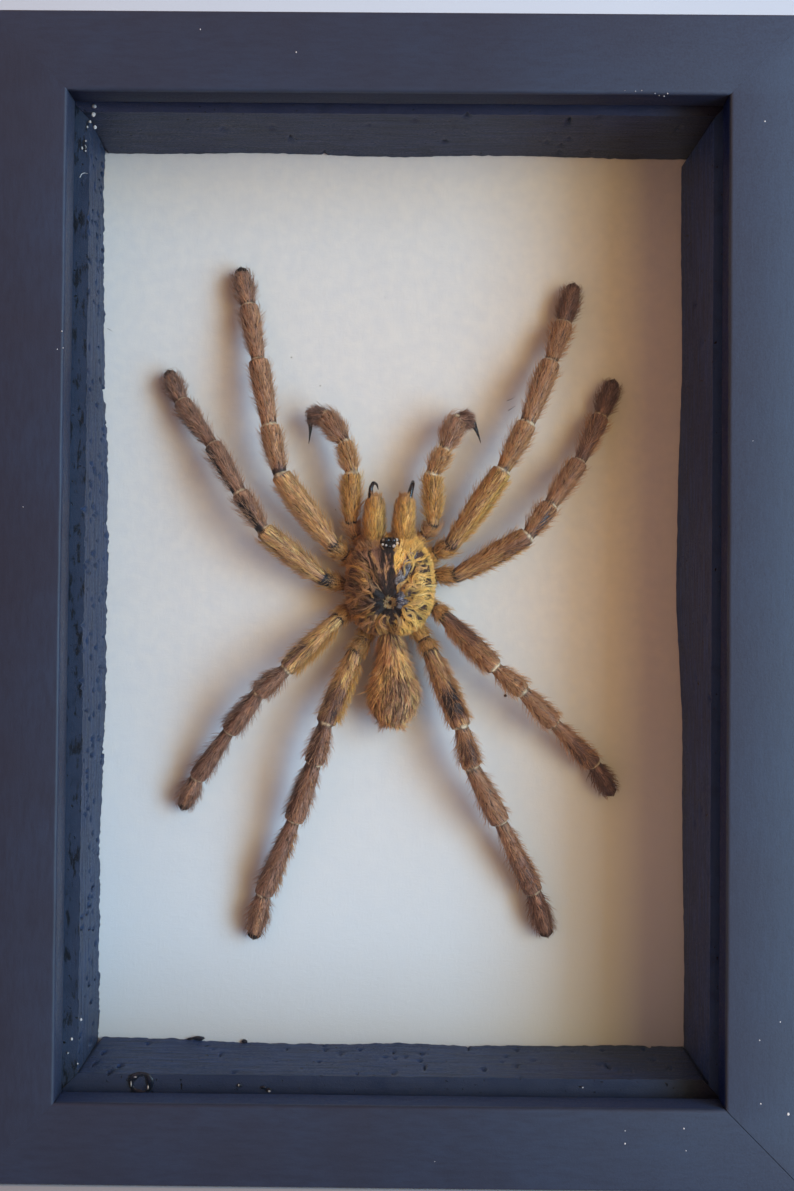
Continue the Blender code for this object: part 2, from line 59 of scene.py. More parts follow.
FULL_TURN = 2 * math.pi

Array = np.ndarray
Colour = tuple[float, float, float, float]
Triple = tuple[float, float, float]
Draws = np.random.Generator
Tint = Callable[[Array, Array], Array]
Object, Material, Socket = bpy.types.Object, bpy.types.Material, bpy.types.NodeSocket
BMesh, BMVert, BMEdge = bmesh.types.BMesh, bmesh.types.BMVert, bmesh.types.BMEdge


def seen(red: int, green: int, blue: int, gain: float = 1.0) -> Colour:
    """A linear colour of one that is given in 0 to 255 screen values.

    Args:
        red: Red, 0 to 255.
        green: Green, 0 to 255.
        blue: Blue, 0 to 255.
        gain: What the linear colour is multiplied by.

    Returns:
        The colour with full alpha.
    """
    linear = []
    for value in (red, green, blue):
        share = value / 255
        linear.append(gain * (share / 12.92 if share <= 0.04045 else ((share + 0.055) / 1.055) ** 2.4))
    return (linear[0], linear[1], linear[2], 1.0)


def unit(vectors: Array) -> Array:
    """Vectors of length one, along the last axis."""
    return vectors / np.maximum(np.linalg.norm(vectors, axis=-1, keepdims=True), 1e-12)


def smooth_step(value: Array, low: float, high: float) -> Array:
    """0 below low, 1 above high and a smooth rise between."""
    share = np.clip((value - low) / (high - low), 0.0, 1.0)
    return share * share * (3 - 2 * share)


def mound(x: Array, x_size: float, z: Array | float = 0.0, z_size: float = 1.0) -> Array:
    """1 in the middle, falling off smoothly to a third at these sizes."""
    return np.exp(-(x / x_size) ** 2 - (z / z_size) ** 2)


def mixed(first: Array, second: Array, share: Array) -> Array:
    """Goes from the first values to the second ones by a share."""
    return first * (1 - share) + second * share


def steps_of(points: int) -> Array:
    """Even shares from a hair's root to its tip, as one row."""
    return np.linspace(0.0, 1.0, points)[None, :]


def run_of(line: Array) -> Array:
    """Distance along a line of points at each of them."""
    return np.concatenate([[0.0], np.cumsum(np.linalg.norm(np.diff(line, axis=0), axis=1))])


def on_line(share: Array, knots: Array, anchors: Array) -> Array:
    """Points on the broken line through anchors that lie at knots."""
    return np.stack([np.interp(share, knots, anchors[:, axis]) for axis in range(3)], axis=-1)


def even_out(line: Array, times: int) -> Array:
    """Smooths the inner values of a line, in place.

    Args:
        line: The values.
        times: How often it is done.

    Returns:
        The line.
    """
    for _ in range(times):
        line[1:-1] = (line[:-2] + 2 * line[1:-1] + line[2:]) / 4
    return line


class Ripple:
    """Smooth noise on a plane that repeats every `cells` units across, made from seeded numbers."""

    def __init__(self, seed: int, cells: int = 32) -> None:
        """Draws the table that the noise is read from."""
        self.cells = cells
        self.table = np.random.default_rng(seed).random((cells, cells))

    def __call__(self, across: Array, along: Array) -> Array:
        """Noise from 0 to 1 at these places.

        Args:
            across: Places across, in cells of the table.
            along: Places along, in cells.

        Returns:
            The noise, 0 to 1.
        """
        x0, y0 = np.floor(across).astype(int), np.floor(along).astype(int)
        fx, fy = across - x0, along - y0
        fx, fy = fx * fx * (3 - 2 * fx), fy * fy * (3 - 2 * fy)
        x0, y0 = x0 % self.cells, y0 % self.cells
        x1, y1 = (x0 + 1) % self.cells, (y0 + 1) % self.cells
        low = self.table[x0, y0] * (1 - fx) + self.table[x1, y0] * fx
        high = self.table[x0, y1] * (1 - fx) + self.table[x1, y1] * fx
        return low * (1 - fy) + high * fy


# ---------------------------------------------------------------- layout


class Slot(Enum):
    """The record's finishes."""

    FRAME = "frame_paint"
    SPACER = "spacer_paint"
    GLASS = "clear_glass"
    PAPER = "white_paper"
    BOARD = "back_board"
    STEEL = "zinc_steel"
    BODY_HAIR = "golden_hair"
    LEG_HAIR = "leg_hair"


class Corner(Enum):
    """Corners of the frame, with how far each mitre stands open, in mm."""

    BOTTOM_LEFT = 0.004
    BOTTOM_RIGHT = 0.06
    TOP_RIGHT = 0.008
    TOP_LEFT = 0.003


class Side(Enum):
    """Sides of the frame, with the turn in degrees from the bottom one and the corners at its ends."""

    BOTTOM = (0, Corner.BOTTOM_LEFT, Corner.BOTTOM_RIGHT)
    RIGHT = (90, Corner.BOTTOM_RIGHT, Corner.TOP_RIGHT)
    TOP = (180, Corner.TOP_RIGHT, Corner.TOP_LEFT)
    LEFT = (270, Corner.TOP_LEFT, Corner.BOTTOM_LEFT)

    @property
    def label(self) -> str:
        """The side's name in node names."""
        return self.name.lower()

    @property
    def upright(self) -> bool:
        """Whether the side runs up and down."""
        return self in (Side.LEFT, Side.RIGHT)


@dataclass(frozen=True)
class Layout:
    """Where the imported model's layers and opening lie, in metres."""

    low: Vector
    high: Vector
    opening_low: Vector
    spacer_front: float
    spacer_back: float
    paper_front: float
    board_back: float
    body_x: float = -0.8 * MM
    body_rise: float = 1.2 * MM

    @classmethod
    def read(cls) -> "Layout":
        """Reads the boxes of the frame's nodes."""
        left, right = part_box("frame_rail_left"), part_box("frame_rail_right")
        bottom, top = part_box("frame_rail_bottom"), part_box("frame_rail_top")
        return cls(
            low=Vector((left[0].x, left[0].y, bottom[0].z)),
            high=Vector((right[1].x, right[1].y, top[1].z)),
            opening_low=Vector((left[1].x, left[0].y, bottom[1].z)),
            spacer_front=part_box("spacer_left")[0].y,
            spacer_back=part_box("spacer_left")[1].y,
            paper_front=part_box("backing_paper")[0].y,
            board_back=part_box("backing_board")[1].y,
        )

    @property
    def centre(self) -> Vector:
        """The middle of the frame."""
        return (self.low + self.high) / 2

    @property
    def face_width(self) -> float:
        """Width of a rail's face."""
        return self.opening_low.x - self.low.x

    def length(self, side: Side) -> float:
        """Outer length of a side."""
        return self.high.z - self.low.z if side.upright else self.high.x - self.low.x

    def reach(self, side: Side) -> float:
        """From the middle of the frame to a side's outer edge."""
        return (self.high.x - self.low.x if side.upright else self.high.z - self.low.z) / 2

    def matrix(self, side: Side) -> Matrix:
        """Turns a piece that is drawn for the bottom of the frame to its own side."""
        centre = Vector((0.0, 0.0, self.centre.z))
        return Matrix.Translation(centre) @ Matrix.Rotation(math.radians(-side.value[0]), 4, "Y")

    def at(self, x: float, z: float, height: float) -> Vector:
        """A point of the specimen from mm over the paper."""
        return Vector((self.body_x + x * MM, self.paper_front - height * MM,
                       self.centre.z + self.body_rise + z * MM))

    def spread(self, x: Array, z: Array, height: Array) -> Array:
        """Points of the specimen from arrays of mm over the paper."""
        return np.stack([self.body_x + x * MM, self.paper_front - height * MM,
                         self.centre.z + self.body_rise + z * MM], axis=-1)

    def on_face(self, x: float, z: float, depth: float = 0.0) -> Vector:
        """A point in mm from the middle of the opening, and mm behind the frame's face."""
        return Vector((x * MM, self.low.y + depth * MM, self.centre.z + z * MM))


# ---------------------------------------------------------------- finishes


class Shader:
    """A Principled material that is put together node by node."""

    def __init__(self, name: str, roughness: float, specular: float = 0.5, metallic: float = 0.0) -> None:
        """Starts a material with its plain values.

        Args:
            name: The material's name.
            roughness: How rough its surface is.
            specular: How much it shines.
            metallic: 1 for a metal.
        """
        self.material = bpy.data.materials.new(name)
        self.material.use_nodes = True
        self.tree = self.material.node_tree
        self.shader = self.tree.nodes["Principled BSDF"]
        self.shader.inputs["Roughness"].default_value = roughness
        self.shader.inputs["Specular IOR Level"].default_value = specular
        self.shader.inputs["Metallic"].default_value = metallic

    def add(self, kind: str, inputs: dict | None = None, **settings: object) -> bpy.types.Node:
        """Adds a node.

        Args:
            kind: The node's type.
            inputs: Values or sockets for its inputs, by name or number.
            settings: Values for its properties.

        Returns:
            The node.
        """
        node = self.tree.nodes.new(kind)
        for key, value in settings.items():
            setattr(node, key, value)
        for socket, value in (inputs or {}).items():
            if isinstance(value, Socket):
                self.tree.links.new(value, node.inputs[socket])
            else:
                node.inputs[socket].default_value = value
        return node

    def place(self, stretch: Sequence[float] = (1.0, 1.0, 1.0)) -> Socket:
        """Object coordinates, scaled on each axis."""
        source = self.add("ShaderNodeTexCoord").outputs["Object"]
        return self.add("ShaderNodeMapping", {"Vector": source, "Scale": stretch}).outputs["Vector"]

    def noise(self, place: Socket, size: float, detail: float = 3.0, roughness: float = 0.55) -> Socket:
        """Makes cloudy noise.

        Args:
            place: Where it is read.
            size: About how many mm across its lumps are.
            detail: How many finer layers it has.
            roughness: How strong the finer layers are.

        Returns:
            The noise, 0 to 1.
        """
        inputs = {"Vector": place, "Scale": 1.0 / (size * MM), "Detail": detail, "Roughness": roughness}
        return self.add("ShaderNodeTexNoise", inputs).outputs["Fac"]

    def ramp(self, value: Socket, stops: Sequence[tuple[float, Colour]]) -> Socket:
        """Makes a colour ramp.

        Args:
            value: What it reads, 0 to 1.
            stops: Places on the ramp and their colours.

        Returns:
            The colour.
        """
        node = self.add("ShaderNodeValToRGB", {"Fac": value})
        elements = node.color_ramp.elements
        for number, (position, colour) in enumerate(stops):
            element = elements[number] if number < 2 else elements.new(position)
            element.position = position
            element.color = colour
        return node.outputs["Color"]

    def span(self, value: Socket, low: float, high: float,
             first: float = 0.0, last: float = 1.0) -> Socket:
        """Takes a value from one range to another and holds it there.

        Args:
            value: The value.
            low: Where its range starts.
            high: Where its range ends.
            first: What low becomes.
            last: What high becomes.

        Returns:
            The new value.
        """
        inputs = {"Value": value, "From Min": low, "From Max": high, "To Min": first, "To Max": last}
        return self.add("ShaderNodeMapRange", inputs).outputs["Result"]

    def blend(self, share: Socket | float, first: object, second: object,
              kind: str = "MIX") -> Socket:
        """Mixes two colours.

        Args:
            share: How much of the second there is, 0 to 1.
            first: The first colour.
            second: The second colour.
            kind: The way they are mixed.

        Returns:
            The colour.
        """
        node = self.add("ShaderNodeMix", {0: share, 6: first, 7: second}, data_type="RGBA", blend_type=kind)
        return node.outputs[2]

    def between(self, value: Socket, low: float, high: float, first: object, second: object) -> Socket:
        """Goes from the first colour to the second while a value goes from low to high."""
        return self.blend(self.span(value, low, high), first, second)

    def axes(self) -> tuple[Socket, ...]:
        """Object coordinates, one by one."""
        return tuple(self.add("ShaderNodeSeparateXYZ", {"Vector": self.place()}).outputs)

    def maths(self, operation: str, first: object, second: object) -> Socket:
        """Works out one number from two."""
        return self.add("ShaderNodeMath", {0: first, 1: second}, operation=operation).outputs[0]

    def wire(self, socket: str, value: Socket) -> None:
        """Links a value to the shader."""
        self.tree.links.new(value, self.shader.inputs[socket])

    def bump(self, height: Socket, depth: float, strength: float = 1.0) -> None:
        """Raises the surface by a height, this many mm deep."""
        inputs = {"Height": height, "Distance": depth * MM, "Strength": strength}
        self.wire("Normal", self.add("ShaderNodeBump", inputs).outputs["Normal"])


@dataclass(frozen=True)
class Finish(ABC):
    """A surface finish, made once and shared."""

    name: str

    @abstractmethod
    def build(self) -> Material:
        """Makes the material."""

    @property
    def material(self) -> Material:
        """The finish's material, made at its first use."""
        return bpy.data.materials.get(self.name) or self.build()


@dataclass(frozen=True)
class FramePaint(Finish):
    """Satin blue-black paint over wood, with the drag of the brush along the rail, a painted sheen that
    lightens it towards the right and the top, and a painted shade on the lip walls.
    """

    upright: bool = False
    deep: Colour = seen(34, 39, 57)
    cool: Colour = seen(41, 52, 75)
    plum: Colour = seen(40, 46, 65)
    # light is the colour of the painted sheen of the window light towards the right and the top.
    light: Colour = seen(72, 88, 116)
    # inner is the painted light and shade of the lip walls: darker on the top and right, paler on the bottom.
    # It is laid on by the share shaded, between the depths inward.
    inner: Colour = seen(20, 31, 58)
    shaded: float = 0.75
    drag: float = 5.0
    shine: float = 0.42
    inward: tuple[float, float] = (-0.0157, -0.0152)

    def build(self) -> Material:
        """Makes the paint."""
        made = Shader(self.name, roughness=0.46, specular=self.shine)
        stretch = (1.0, 1.0, 1 / self.drag) if self.upright else (1 / self.drag, 1.0, 1.0)
        grain = made.noise(made.place(stretch), 0.7, detail=5.0, roughness=0.75)
        broad = made.noise(made.place(), 16.0, detail=2.0)
        fine = made.noise(made.place(), 0.3)
        tint = made.between(broad, 0.35, 0.65, self.plum, self.cool)
        colour = made.blend(made.span(grain, 0.34, 0.6, 0.35, 1.0), self.deep, tint)
        x, y, z = made.axes()
        # Painted sheen: the face is lightened towards the right and the top, where the window light glances
        # off it, a little unevenly.
        painted_sheen = made.maths("ADD", made.span(x, 0.01, 0.058, 0.0, 0.32), made.span(z, 0.1, 0.166, 0.0, 0.12))
        painted_sheen = made.maths("MULTIPLY", painted_sheen, made.span(fine, 0.3, 0.7, 0.7, 1.25))
        colour = made.blend(painted_sheen, colour, self.light)
        # Painted light and shade: the lip walls turn towards inner and shine less, by the share shaded.
        colour = made.blend(made.span(y, *self.inward, 0.0, self.shaded), colour, self.inner)
        made.wire("Base Color", colour)
        made.wire("Roughness", made.span(fine, 0.3, 0.7, 0.38, 0.56))
        dulled = self.shine - 0.36 * self.shaded
        made.wire("Specular IOR Level", made.span(y, *self.inward, self.shine, dulled))
        made.bump(made.maths("ADD", grain, made.maths("MULTIPLY", fine, 0.6)), 0.03, 0.8)
        return made.material


@dataclass(frozen=True)
class SpacerPaint(Finish):
    """Thin black paint on a rough strip, with dry streaks, pores and specks of bare glue, and painted light
    and shade on its front face.
    """

    along: tuple[float, float, float] = (1.0, 1.0, 0.08)
    deep: Colour = seen(24, 33, 55)
    worn: Colour = seen(42, 57, 92)
    # front is painted light and shade: the front face's colour, set to how the light falls on it there. faced
    # gives its depths.
    front: Colour = seen(36, 49, 73)
    torn: float = 0.0
    faced: tuple[float, float] = (-0.0088, -0.0083)
    pore: Colour = seen(9, 10, 16)

    def build(self) -> Material:
        """Makes the paint."""
        made = Shader(self.name, roughness=0.55, specular=0.25)
        streak = made.noise(made.place(self.along), 0.5, detail=4.0, roughness=0.65)
        patch = made.noise(made.place(), 3.0)
        grit = made.noise(made.place(), 0.28, detail=2.0)
        pores = made.noise(made.place((1.0, 0.55, 1.0)), 0.62, detail=1.0)
        colour = made.between(streak, 0.34, 0.68, self.deep, self.worn)
        depth = made.axes()[1]
        # Painted light and shade: the front face takes the front colour.
        colour = made.blend(made.span(depth, *self.faced, 0.92, 0.0), colour, self.front)
        colour = made.blend(made.span(patch, 0.5, 0.75, 0.0, 0.5), colour, self.deep)
        splits = made.noise(made.place((1.0, 1.0, 0.28)), 1.1, detail=4.0, roughness=0.7)
        splits = made.span(splits, 0.54, 0.6)
        torn = made.span(depth, -0.0086, self.faced[1], self.torn, 0.0)
        colour = made.blend(made.maths("MULTIPLY", splits, torn), colour, self.pore)
        colour = made.between(pores, 0.72, 0.76, colour, self.pore)
        made.wire("Base Color", colour)
        made.wire("Roughness", made.span(grit, 0.3, 0.7, 0.42, 0.68))
        rough = made.maths("ADD", streak, grit)
        made.bump(made.maths("SUBTRACT", rough, made.span(pores, 0.7, 0.78, 0.0, 3.0)), 0.06, 0.9)
        return made.material


@dataclass(frozen=True)
class ClearPane(Finish):
    """Thin picture glass, with the faint bloom of dust and wiping."""

    shown: float = 0.03

    def build(self) -> Material:
        """Makes the glass."""
        made = Shader(self.name, roughness=0.04, specular=0.5)
        smear = made.noise(made.place((1.0, 1.0, 0.35)), 9.0, detail=4.0)
        colour = made.between(smear, 0.4, 0.7, seen(72, 80, 86), seen(112, 120, 126))
        made.wire("Base Color", colour)
        made.wire("Roughness", made.span(smear, 0.35, 0.75, 0.03, 0.16))
        made.shader.inputs["Alpha"].default_value = self.shown
        return made.material


@dataclass(frozen=True)
class WhitePaper(Finish):
    """Soft uncoated paper with cloudy pulp and short fibres, and painted cool light that tints it bluer
    towards the bottom.
    """

    white: Colour = seen(226, 226, 225)
    cloud: Colour = seen(217, 219, 222)
    # cool is the colour of the painted cool light towards the bottom.
    cool: Colour = seen(212, 227, 241)

    def build(self) -> Material:
        """Makes the paper."""
        made = Shader(self.name, roughness=0.88, specular=0.2)
        pulp = made.noise(made.place(), 1.7, detail=6.0, roughness=0.7)
        lying = made.noise(made.place((0.3, 1.0, 1.0)), 0.42, roughness=0.6)
        standing = made.noise(made.place((1.0, 1.0, 0.3)), 0.42, roughness=0.6)
        fibres = made.maths("MAXIMUM", lying, standing)
        colour = made.between(pulp, 0.36, 0.66, self.cloud, self.white)
        colour = made.blend(made.span(fibres, 0.55, 0.72, 0.0, 0.5), colour, self.cloud)
        height = made.axes()[2]
        # Painted light: the paper is tinted towards cool, the colour of the cool light, towards the bottom.
        colour = made.blend(made.span(height, 0.015, 0.085, 0.9, 0.0), colour, self.cool)
        made.wire("Base Color", colour)
        made.bump(made.maths("ADD", pulp, fibres), 0.05, 0.7)
        return made.material


@dataclass(frozen=True)
class HardBoard(Finish):
    """Brown pressed board, its back printed by the mesh it was pressed on."""

    brown: Colour = seen(122, 88, 58)
    dark: Colour = seen(84, 58, 38)
    pitch: float = 1.1

    def build(self) -> Material:
        """Makes the board."""
        made = Shader(self.name, roughness=0.78, specular=0.25)
        chips = made.noise(made.place(), 1.4, detail=5.0, roughness=0.7)
        cloud = made.noise(made.place(), 14.0, detail=2.0)
        x, _, z = made.axes()
        turns = FULL_TURN / (self.pitch * MM)
        waves = [made.maths("SINE", made.maths("MULTIPLY", axis, turns), 0.0) for axis in (x, z)]
        print_of_mesh = made.maths("MULTIPLY", *waves)
        colour = made.between(chips, 0.35, 0.68, self.dark, self.brown)
        colour = made.blend(made.span(cloud, 0.45, 0.75, 0.0, 0.35), colour, self.dark)
        made.wire("Base Color", colour)
        made.wire("Roughness", made.span(chips, 0.3, 0.7, 0.66, 0.88))
        made.bump(made.maths("ADD", made.maths("MULTIPLY", print_of_mesh, 0.5), chips), 0.12, 0.8)
        return made.material


@dataclass(frozen=True)
class ZincSteel(Finish):
    """Zinc-plated steel, dulled and finely scratched."""

    bright: Colour = seen(196, 198, 200)
    dull: Colour = seen(140, 142, 146)

    def build(self) -> Material:
        """Makes the steel."""
        made = Shader(self.name, roughness=0.34, metallic=1.0)
        spangle = made.noise(made.place(), 1.2)
        scratch = made.noise(made.place((0.12, 1.0, 1.0)), 0.2)
        made.wire("Base Color", made.between(spangle, 0.35, 0.7, self.dull, self.bright))
        made.wire("Roughness", made.span(scratch, 0.3, 0.7, 0.26, 0.5))
        made.bump(scratch, 0.01, 0.6)
        return made.material


@dataclass(frozen=True)
class Cuticle(Finish):
    """Dry leathery skin that takes its colour from the mesh."""

    roughness: float = 0.5
    grain: float = 0.22
    specular: float = 0.45

    def build(self) -> Material:
        """Makes the skin."""
        made = Shader(self.name, roughness=self.roughness, specular=self.specular)
        own = made.add("ShaderNodeAttribute", attribute_name="skin").outputs["Color"]
        grain = made.noise(made.place(), self.grain, detail=4.0, roughness=0.65)
        dark = made.blend(0.55, own, (0.006, 0.005, 0.006, 1.0))
        made.wire("Base Color", made.between(grain, 0.32, 0.6, dark, own))
        made.wire("Roughness", made.span(grain, 0.3, 0.7, self.roughness * 0.7, self.roughness * 1.25))
        made.bump(grain, 0.05, 0.8)
        return made.material


@dataclass(frozen=True)
class HairDye(Finish):
    """Hair: its map holds the pigment across and the light from root to tip upwards."""

    gain: float = 1.0
    pigments: tuple[tuple[float, Colour], ...] = (
        (0.00, seen(16, 13, 14)),
        (0.12, seen(60, 42, 34)),
        (0.25, seen(108, 76, 62)),
        (0.38, seen(156, 118, 102)),
        (0.50, seen(192, 146, 114)),
        (0.62, seen(210, 162, 112)),
        (0.74, seen(216, 166, 88)),
        (0.86, seen(236, 192, 102)),
        (0.93, seen(240, 208, 138)),
        (0.965, seen(244, 230, 202)),
        # The bluish last stop is for the slate hairs, partly painted sheen.
        (1.00, seen(128, 138, 168)),
    )

    def build(self) -> Material:
        """Makes the hair."""
        made = Shader(self.name, roughness=0.52, specular=0.32)
        made.shader.inputs["Sheen Weight"].default_value = 0.12
        made.shader.inputs["Sheen Roughness"].default_value = 0.4
        source = made.add("ShaderNodeUVMap", uv_map=BAKE_MAP).outputs["UV"]
        across, upwards, _ = made.add("ShaderNodeSeparateXYZ", {"Vector": source}).outputs
        pigment = made.ramp(across, self.pigments)
        light = made.span(upwards, 0.0, 1.0, 0.05, 1.35 * self.gain)
        level = made.add("ShaderNodeCombineXYZ", {"X": light, "Y": light, "Z": light}).outputs["Vector"]
        made.wire("Base Color", made.blend(1.0, pigment, level, "MULTIPLY"))
        made.wire("Roughness", made.span(upwards, 0.0, 1.0, 0.62, 0.46))
        return made.material


@dataclass(frozen=True)
class BlackGloss(Finish):
    """Polished horn: fangs, spikes and eyes."""

    deep: Colour = seen(10, 9, 12)
    pale: Colour = seen(44, 40, 46)

    def build(self) -> Material:
        """Makes the horn."""
        made = Shader(self.name, roughness=0.14, specular=0.7)
        cloud = made.noise(made.place(), 0.5, detail=2.0)
        made.wire("Base Color", made.between(cloud, 0.45, 0.8, self.deep, self.pale))
        made.wire("Roughness", made.span(cloud, 0.3, 0.8, 0.1, 0.26))
        return made.material


@dataclass(frozen=True)
class Dried(Finish):
    """A drop, fibre or grain with one cloudy colour."""

    thin: Colour = seen(200, 202, 206)
    thick: Colour = seen(150, 154, 162)
    gloss: float = 0.5
    size: float = 0.4

    def build(self) -> Material:
        """Makes the drop."""
        made = Shader(self.name, roughness=self.gloss, specular=0.5)
        cloud = made.noise(made.place(), self.size)
        made.wire("Base Color", made.between(cloud, 0.35, 0.65, self.thin, self.thick))
        made.wire("Roughness", made.span(cloud, 0.3, 0.7, self.gloss * 0.7, self.gloss * 1.3))
        made.bump(cloud, 0.03, 0.5)
        return made.material


@dataclass(frozen=True)
class PaleGround(Finish):
    """The studio's plain pale ground."""

    tone: Colour = seen(205, 218, 234)

    def build(self) -> Material:
        """Makes the ground."""
        made = Shader(self.name, roughness=0.9, specular=0.1)
        cloud = made.noise(made.place(), 90.0, detail=2.0)
        colour = made.blend(made.span(cloud, 0.3, 0.7, 0.0, 0.15), self.tone, seen(188, 202, 220))
        made.wire("Base Color", colour)
        return made.material


# Lit and shaded copies of one paint: each side's lip wall gets its own painted light and shade.
RAIL_PAINTS = {
    Side.TOP: FramePaint("frame_paint_top_painted_light", inner=seen(34, 40, 60), shaded=1.0),
    Side.BOTTOM: FramePaint("frame_paint_bottom_painted_light", inner=seen(50, 64, 98), shaded=1.0),
    Side.LEFT: FramePaint("frame_paint_left", upright=True, shaded=0.0),
    Side.RIGHT: FramePaint("frame_paint_right_painted_light", upright=True, inner=seen(18, 34, 82), shaded=0.95),
}
ACROSS = (0.08, 1.0, 1.0)
# Lit and shaded copies of one paint: each side's deep, worn and front colours follow the light on that side,
# over the real dry streaks.
STRIP_PAINTS = {
    Side.LEFT: SpacerPaint("spacer_paint_left", deep=seen(21, 34, 56), worn=seen(36, 58, 94),
                           front=seen(44, 57, 82), torn=0.85),
    Side.RIGHT: SpacerPaint("spacer_paint_right_painted_light", deep=seen(25, 42, 82), worn=seen(44, 74, 134),
                            front=seen(52, 80, 134)),
    Side.TOP: SpacerPaint("spacer_paint_top_painted_light", ACROSS, deep=seen(21, 27, 49), worn=seen(37, 48, 82),
                          front=seen(45, 50, 78)),
    Side.BOTTOM: SpacerPaint("spacer_paint_bottom_painted_light", ACROSS, deep=seen(19, 35, 69), worn=seen(34, 62, 115),
                             front=seen(44, 55, 82)),
}
GLASS = ClearPane("picture_glass")
PAPER = WhitePaper("white_paper_sheet")
BOARD = HardBoard("pressed_board")
STEEL = ZincSteel("zinc_steel_plate")
LEG_SKIN = Cuticle("leg_skin")
BODY_SKIN = Cuticle("body_skin", roughness=0.55, specular=0.2)
LEG_HAIR = HairDye("leg_hair_dye")
BODY_HAIR = HairDye("golden_hair_dye", gain=1.06)
HORN = BlackGloss("black_horn")
# The pale dry glue's colour partly stands in for the highlights on the glue: painted highlight.
GLUE = Dried("pale_glue_and_glints", gloss=0.12)
BLACK_GLUE = Dried("black_glue", thin=seen(18, 27, 48), thick=seen(8, 12, 24), gloss=0.35)
# The pale eye colour is partly a painted highlight for the glints on the eyes.
PEARL = Dried("pearly_eye_and_glint", thin=seen(214, 214, 216), thick=seen(150, 150, 158), gloss=0.2, size=0.6)
LINT = Dried("lint", thin=seen(228, 230, 234), thick=seen(186, 190, 198), gloss=0.7, size=0.2)
GRIT = Dried("dark_grit", thin=seen(44, 38, 36), thick=seen(20, 18, 18), gloss=0.6, size=0.2)
GROUND = PaleGround("pale_ground")


# ---------------------------------------------------------------- making pieces


def face_outwards(bm: BMesh) -> None:
    """Turns all faces of a closed mesh out.

    Args:
        bm: The mesh.
    """
    bmesh.ops.recalc_face_normals(bm, faces=bm.faces[:])
    if bm.calc_volume(signed=True) < 0:
        bmesh.ops.reverse_faces(bm, faces=bm.faces[:])


def all_of(bm: BMesh) -> list:
    """A mesh's vertices, edges and faces."""
    return bm.verts[:] + bm.edges[:] + bm.faces[:]


def cut_at(bm: BMesh, x: float) -> None:
    """Cuts a mesh across at an x."""
    bmesh.ops.bisect_plane(bm, geom=all_of(bm), plane_co=(x, 0, 0), plane_no=(1, 0, 0))


def round_off(bm: BMesh, edges: Sequence[BMEdge], offset: float, segments: int) -> None:
    """Rounds edges."""
    bmesh.ops.bevel(bm, geom=edges, offset=offset, offset_type="OFFSET", segments=segments,
                    profile=0.5, affect="EDGES", material=-1)


def new_verts(grown: dict) -> list[BMVert]:
    """The vertices that an extrusion made."""
    return [item for item in grown["geom"] if isinstance(item, BMVert)]


def rim_of(bm: BMesh) -> list[BMEdge]:
    """The open edges of a sheet."""
    return [edge for edge in bm.edges if edge.is_boundary]


def grow_rim(bm: BMesh) -> list[BMVert]:
    """Extrudes a sheet's open rim in place and gives its new vertices."""
    return new_verts(bmesh.ops.extrude_edge_only(bm, edges=rim_of(bm)))


def enter(mesh: bpy.types.Mesh, name: str, finish: Finish,
          replaced: Sequence[str] = ()) -> Object:
    """Puts a mesh into the scene as a piece of the specimen.

    Args:
        mesh: The finished mesh, in place.
        name: The piece's name.
        finish: Its finish.
        replaced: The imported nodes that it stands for.

    Returns:
        The piece.
    """
    mesh.materials.append(finish.material)
    piece = bpy.data.objects.new(name, mesh)
    bpy.context.scene.collection.objects.link(piece)
    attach(piece, "root")
    if replaced:
        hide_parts(*replaced)
    mesh.calc_loop_triangles()
    LOG.info("%s: %d triangles", name, len(mesh.loop_triangles))
    return piece


def settle(bm: BMesh, name: str, crease: float) -> bpy.types.Mesh:
    """Turns a bmesh into a mesh that is smooth but for its sharp edges.

    Args:
        bm: The bmesh; it is used up.
        name: The mesh's name.
        crease: The angle in degrees from which an edge is sharp.

    Returns:
        The mesh.
    """
    mesh = bpy.data.meshes.new(name)
    bm.to_mesh(mesh)
    bm.free()
    mesh.shade_smooth()
    mesh.set_sharp_from_angle(angle=math.radians(crease))
    return mesh


def solid(bm: BMesh, name: str, finish: Finish, replaced: Sequence[str] = (),
          crease: float = 40.0) -> Object:
    """Turns a closed bmesh into a piece, smooth but for its sharp edges.

    Args:
        bm: The bmesh, in place; it is used up.
        name: The piece's name.
        finish: Its finish.
        replaced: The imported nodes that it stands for.
        crease: The angle in degrees from which an edge is sharp.

    Returns:
        The piece.
    """
    face_outwards(bm)
    return enter(settle(bm, name, crease), name, finish, replaced)


def shell(points: Array, closed: bool = True) -> BMesh:
    """A skin through rows of points; closed rows meet themselves and the ends are filled.

    Args:
        points: (rows, columns, 3); on a closed skin the last column repeats the first.
        closed: Whether the rows are rings.

    Returns:
        The skin.
    """
    rows, columns, _ = points.shape
    bm = bmesh.new()
    bmesh.ops.create_grid(bm, x_segments=columns - 1, y_segments=rows - 1, size=1.0)
    for vert, place in zip(bm.verts, points.reshape(-1, 3)):
        vert.co = place
    if closed:
        bmesh.ops.remove_doubles(bm, verts=bm.verts[:], dist=1e-7)
        bmesh.ops.holes_fill(bm, edges=bm.edges[:], sides=columns + 1)
        face_outwards(bm)
    return bm


def paint_skin(bm: BMesh, tint: Tint | Colour) -> None:
    """Colours a skin's vertices.

    Args:
        bm: The skin.
        tint: One colour, or colours by the place of the vertices and the way that they face.
    """
    layer = bm.verts.layers.float_color.new("skin")
    bm.normal_update()
    if callable(tint):
        colours = tint(*(np.array([getattr(vert, part) for vert in bm.verts]) for part in ("co", "normal")))
    else:
        colours = [tint] * len(bm.verts)
    for vert, colour in zip(bm.verts, colours):
        vert[layer] = colour


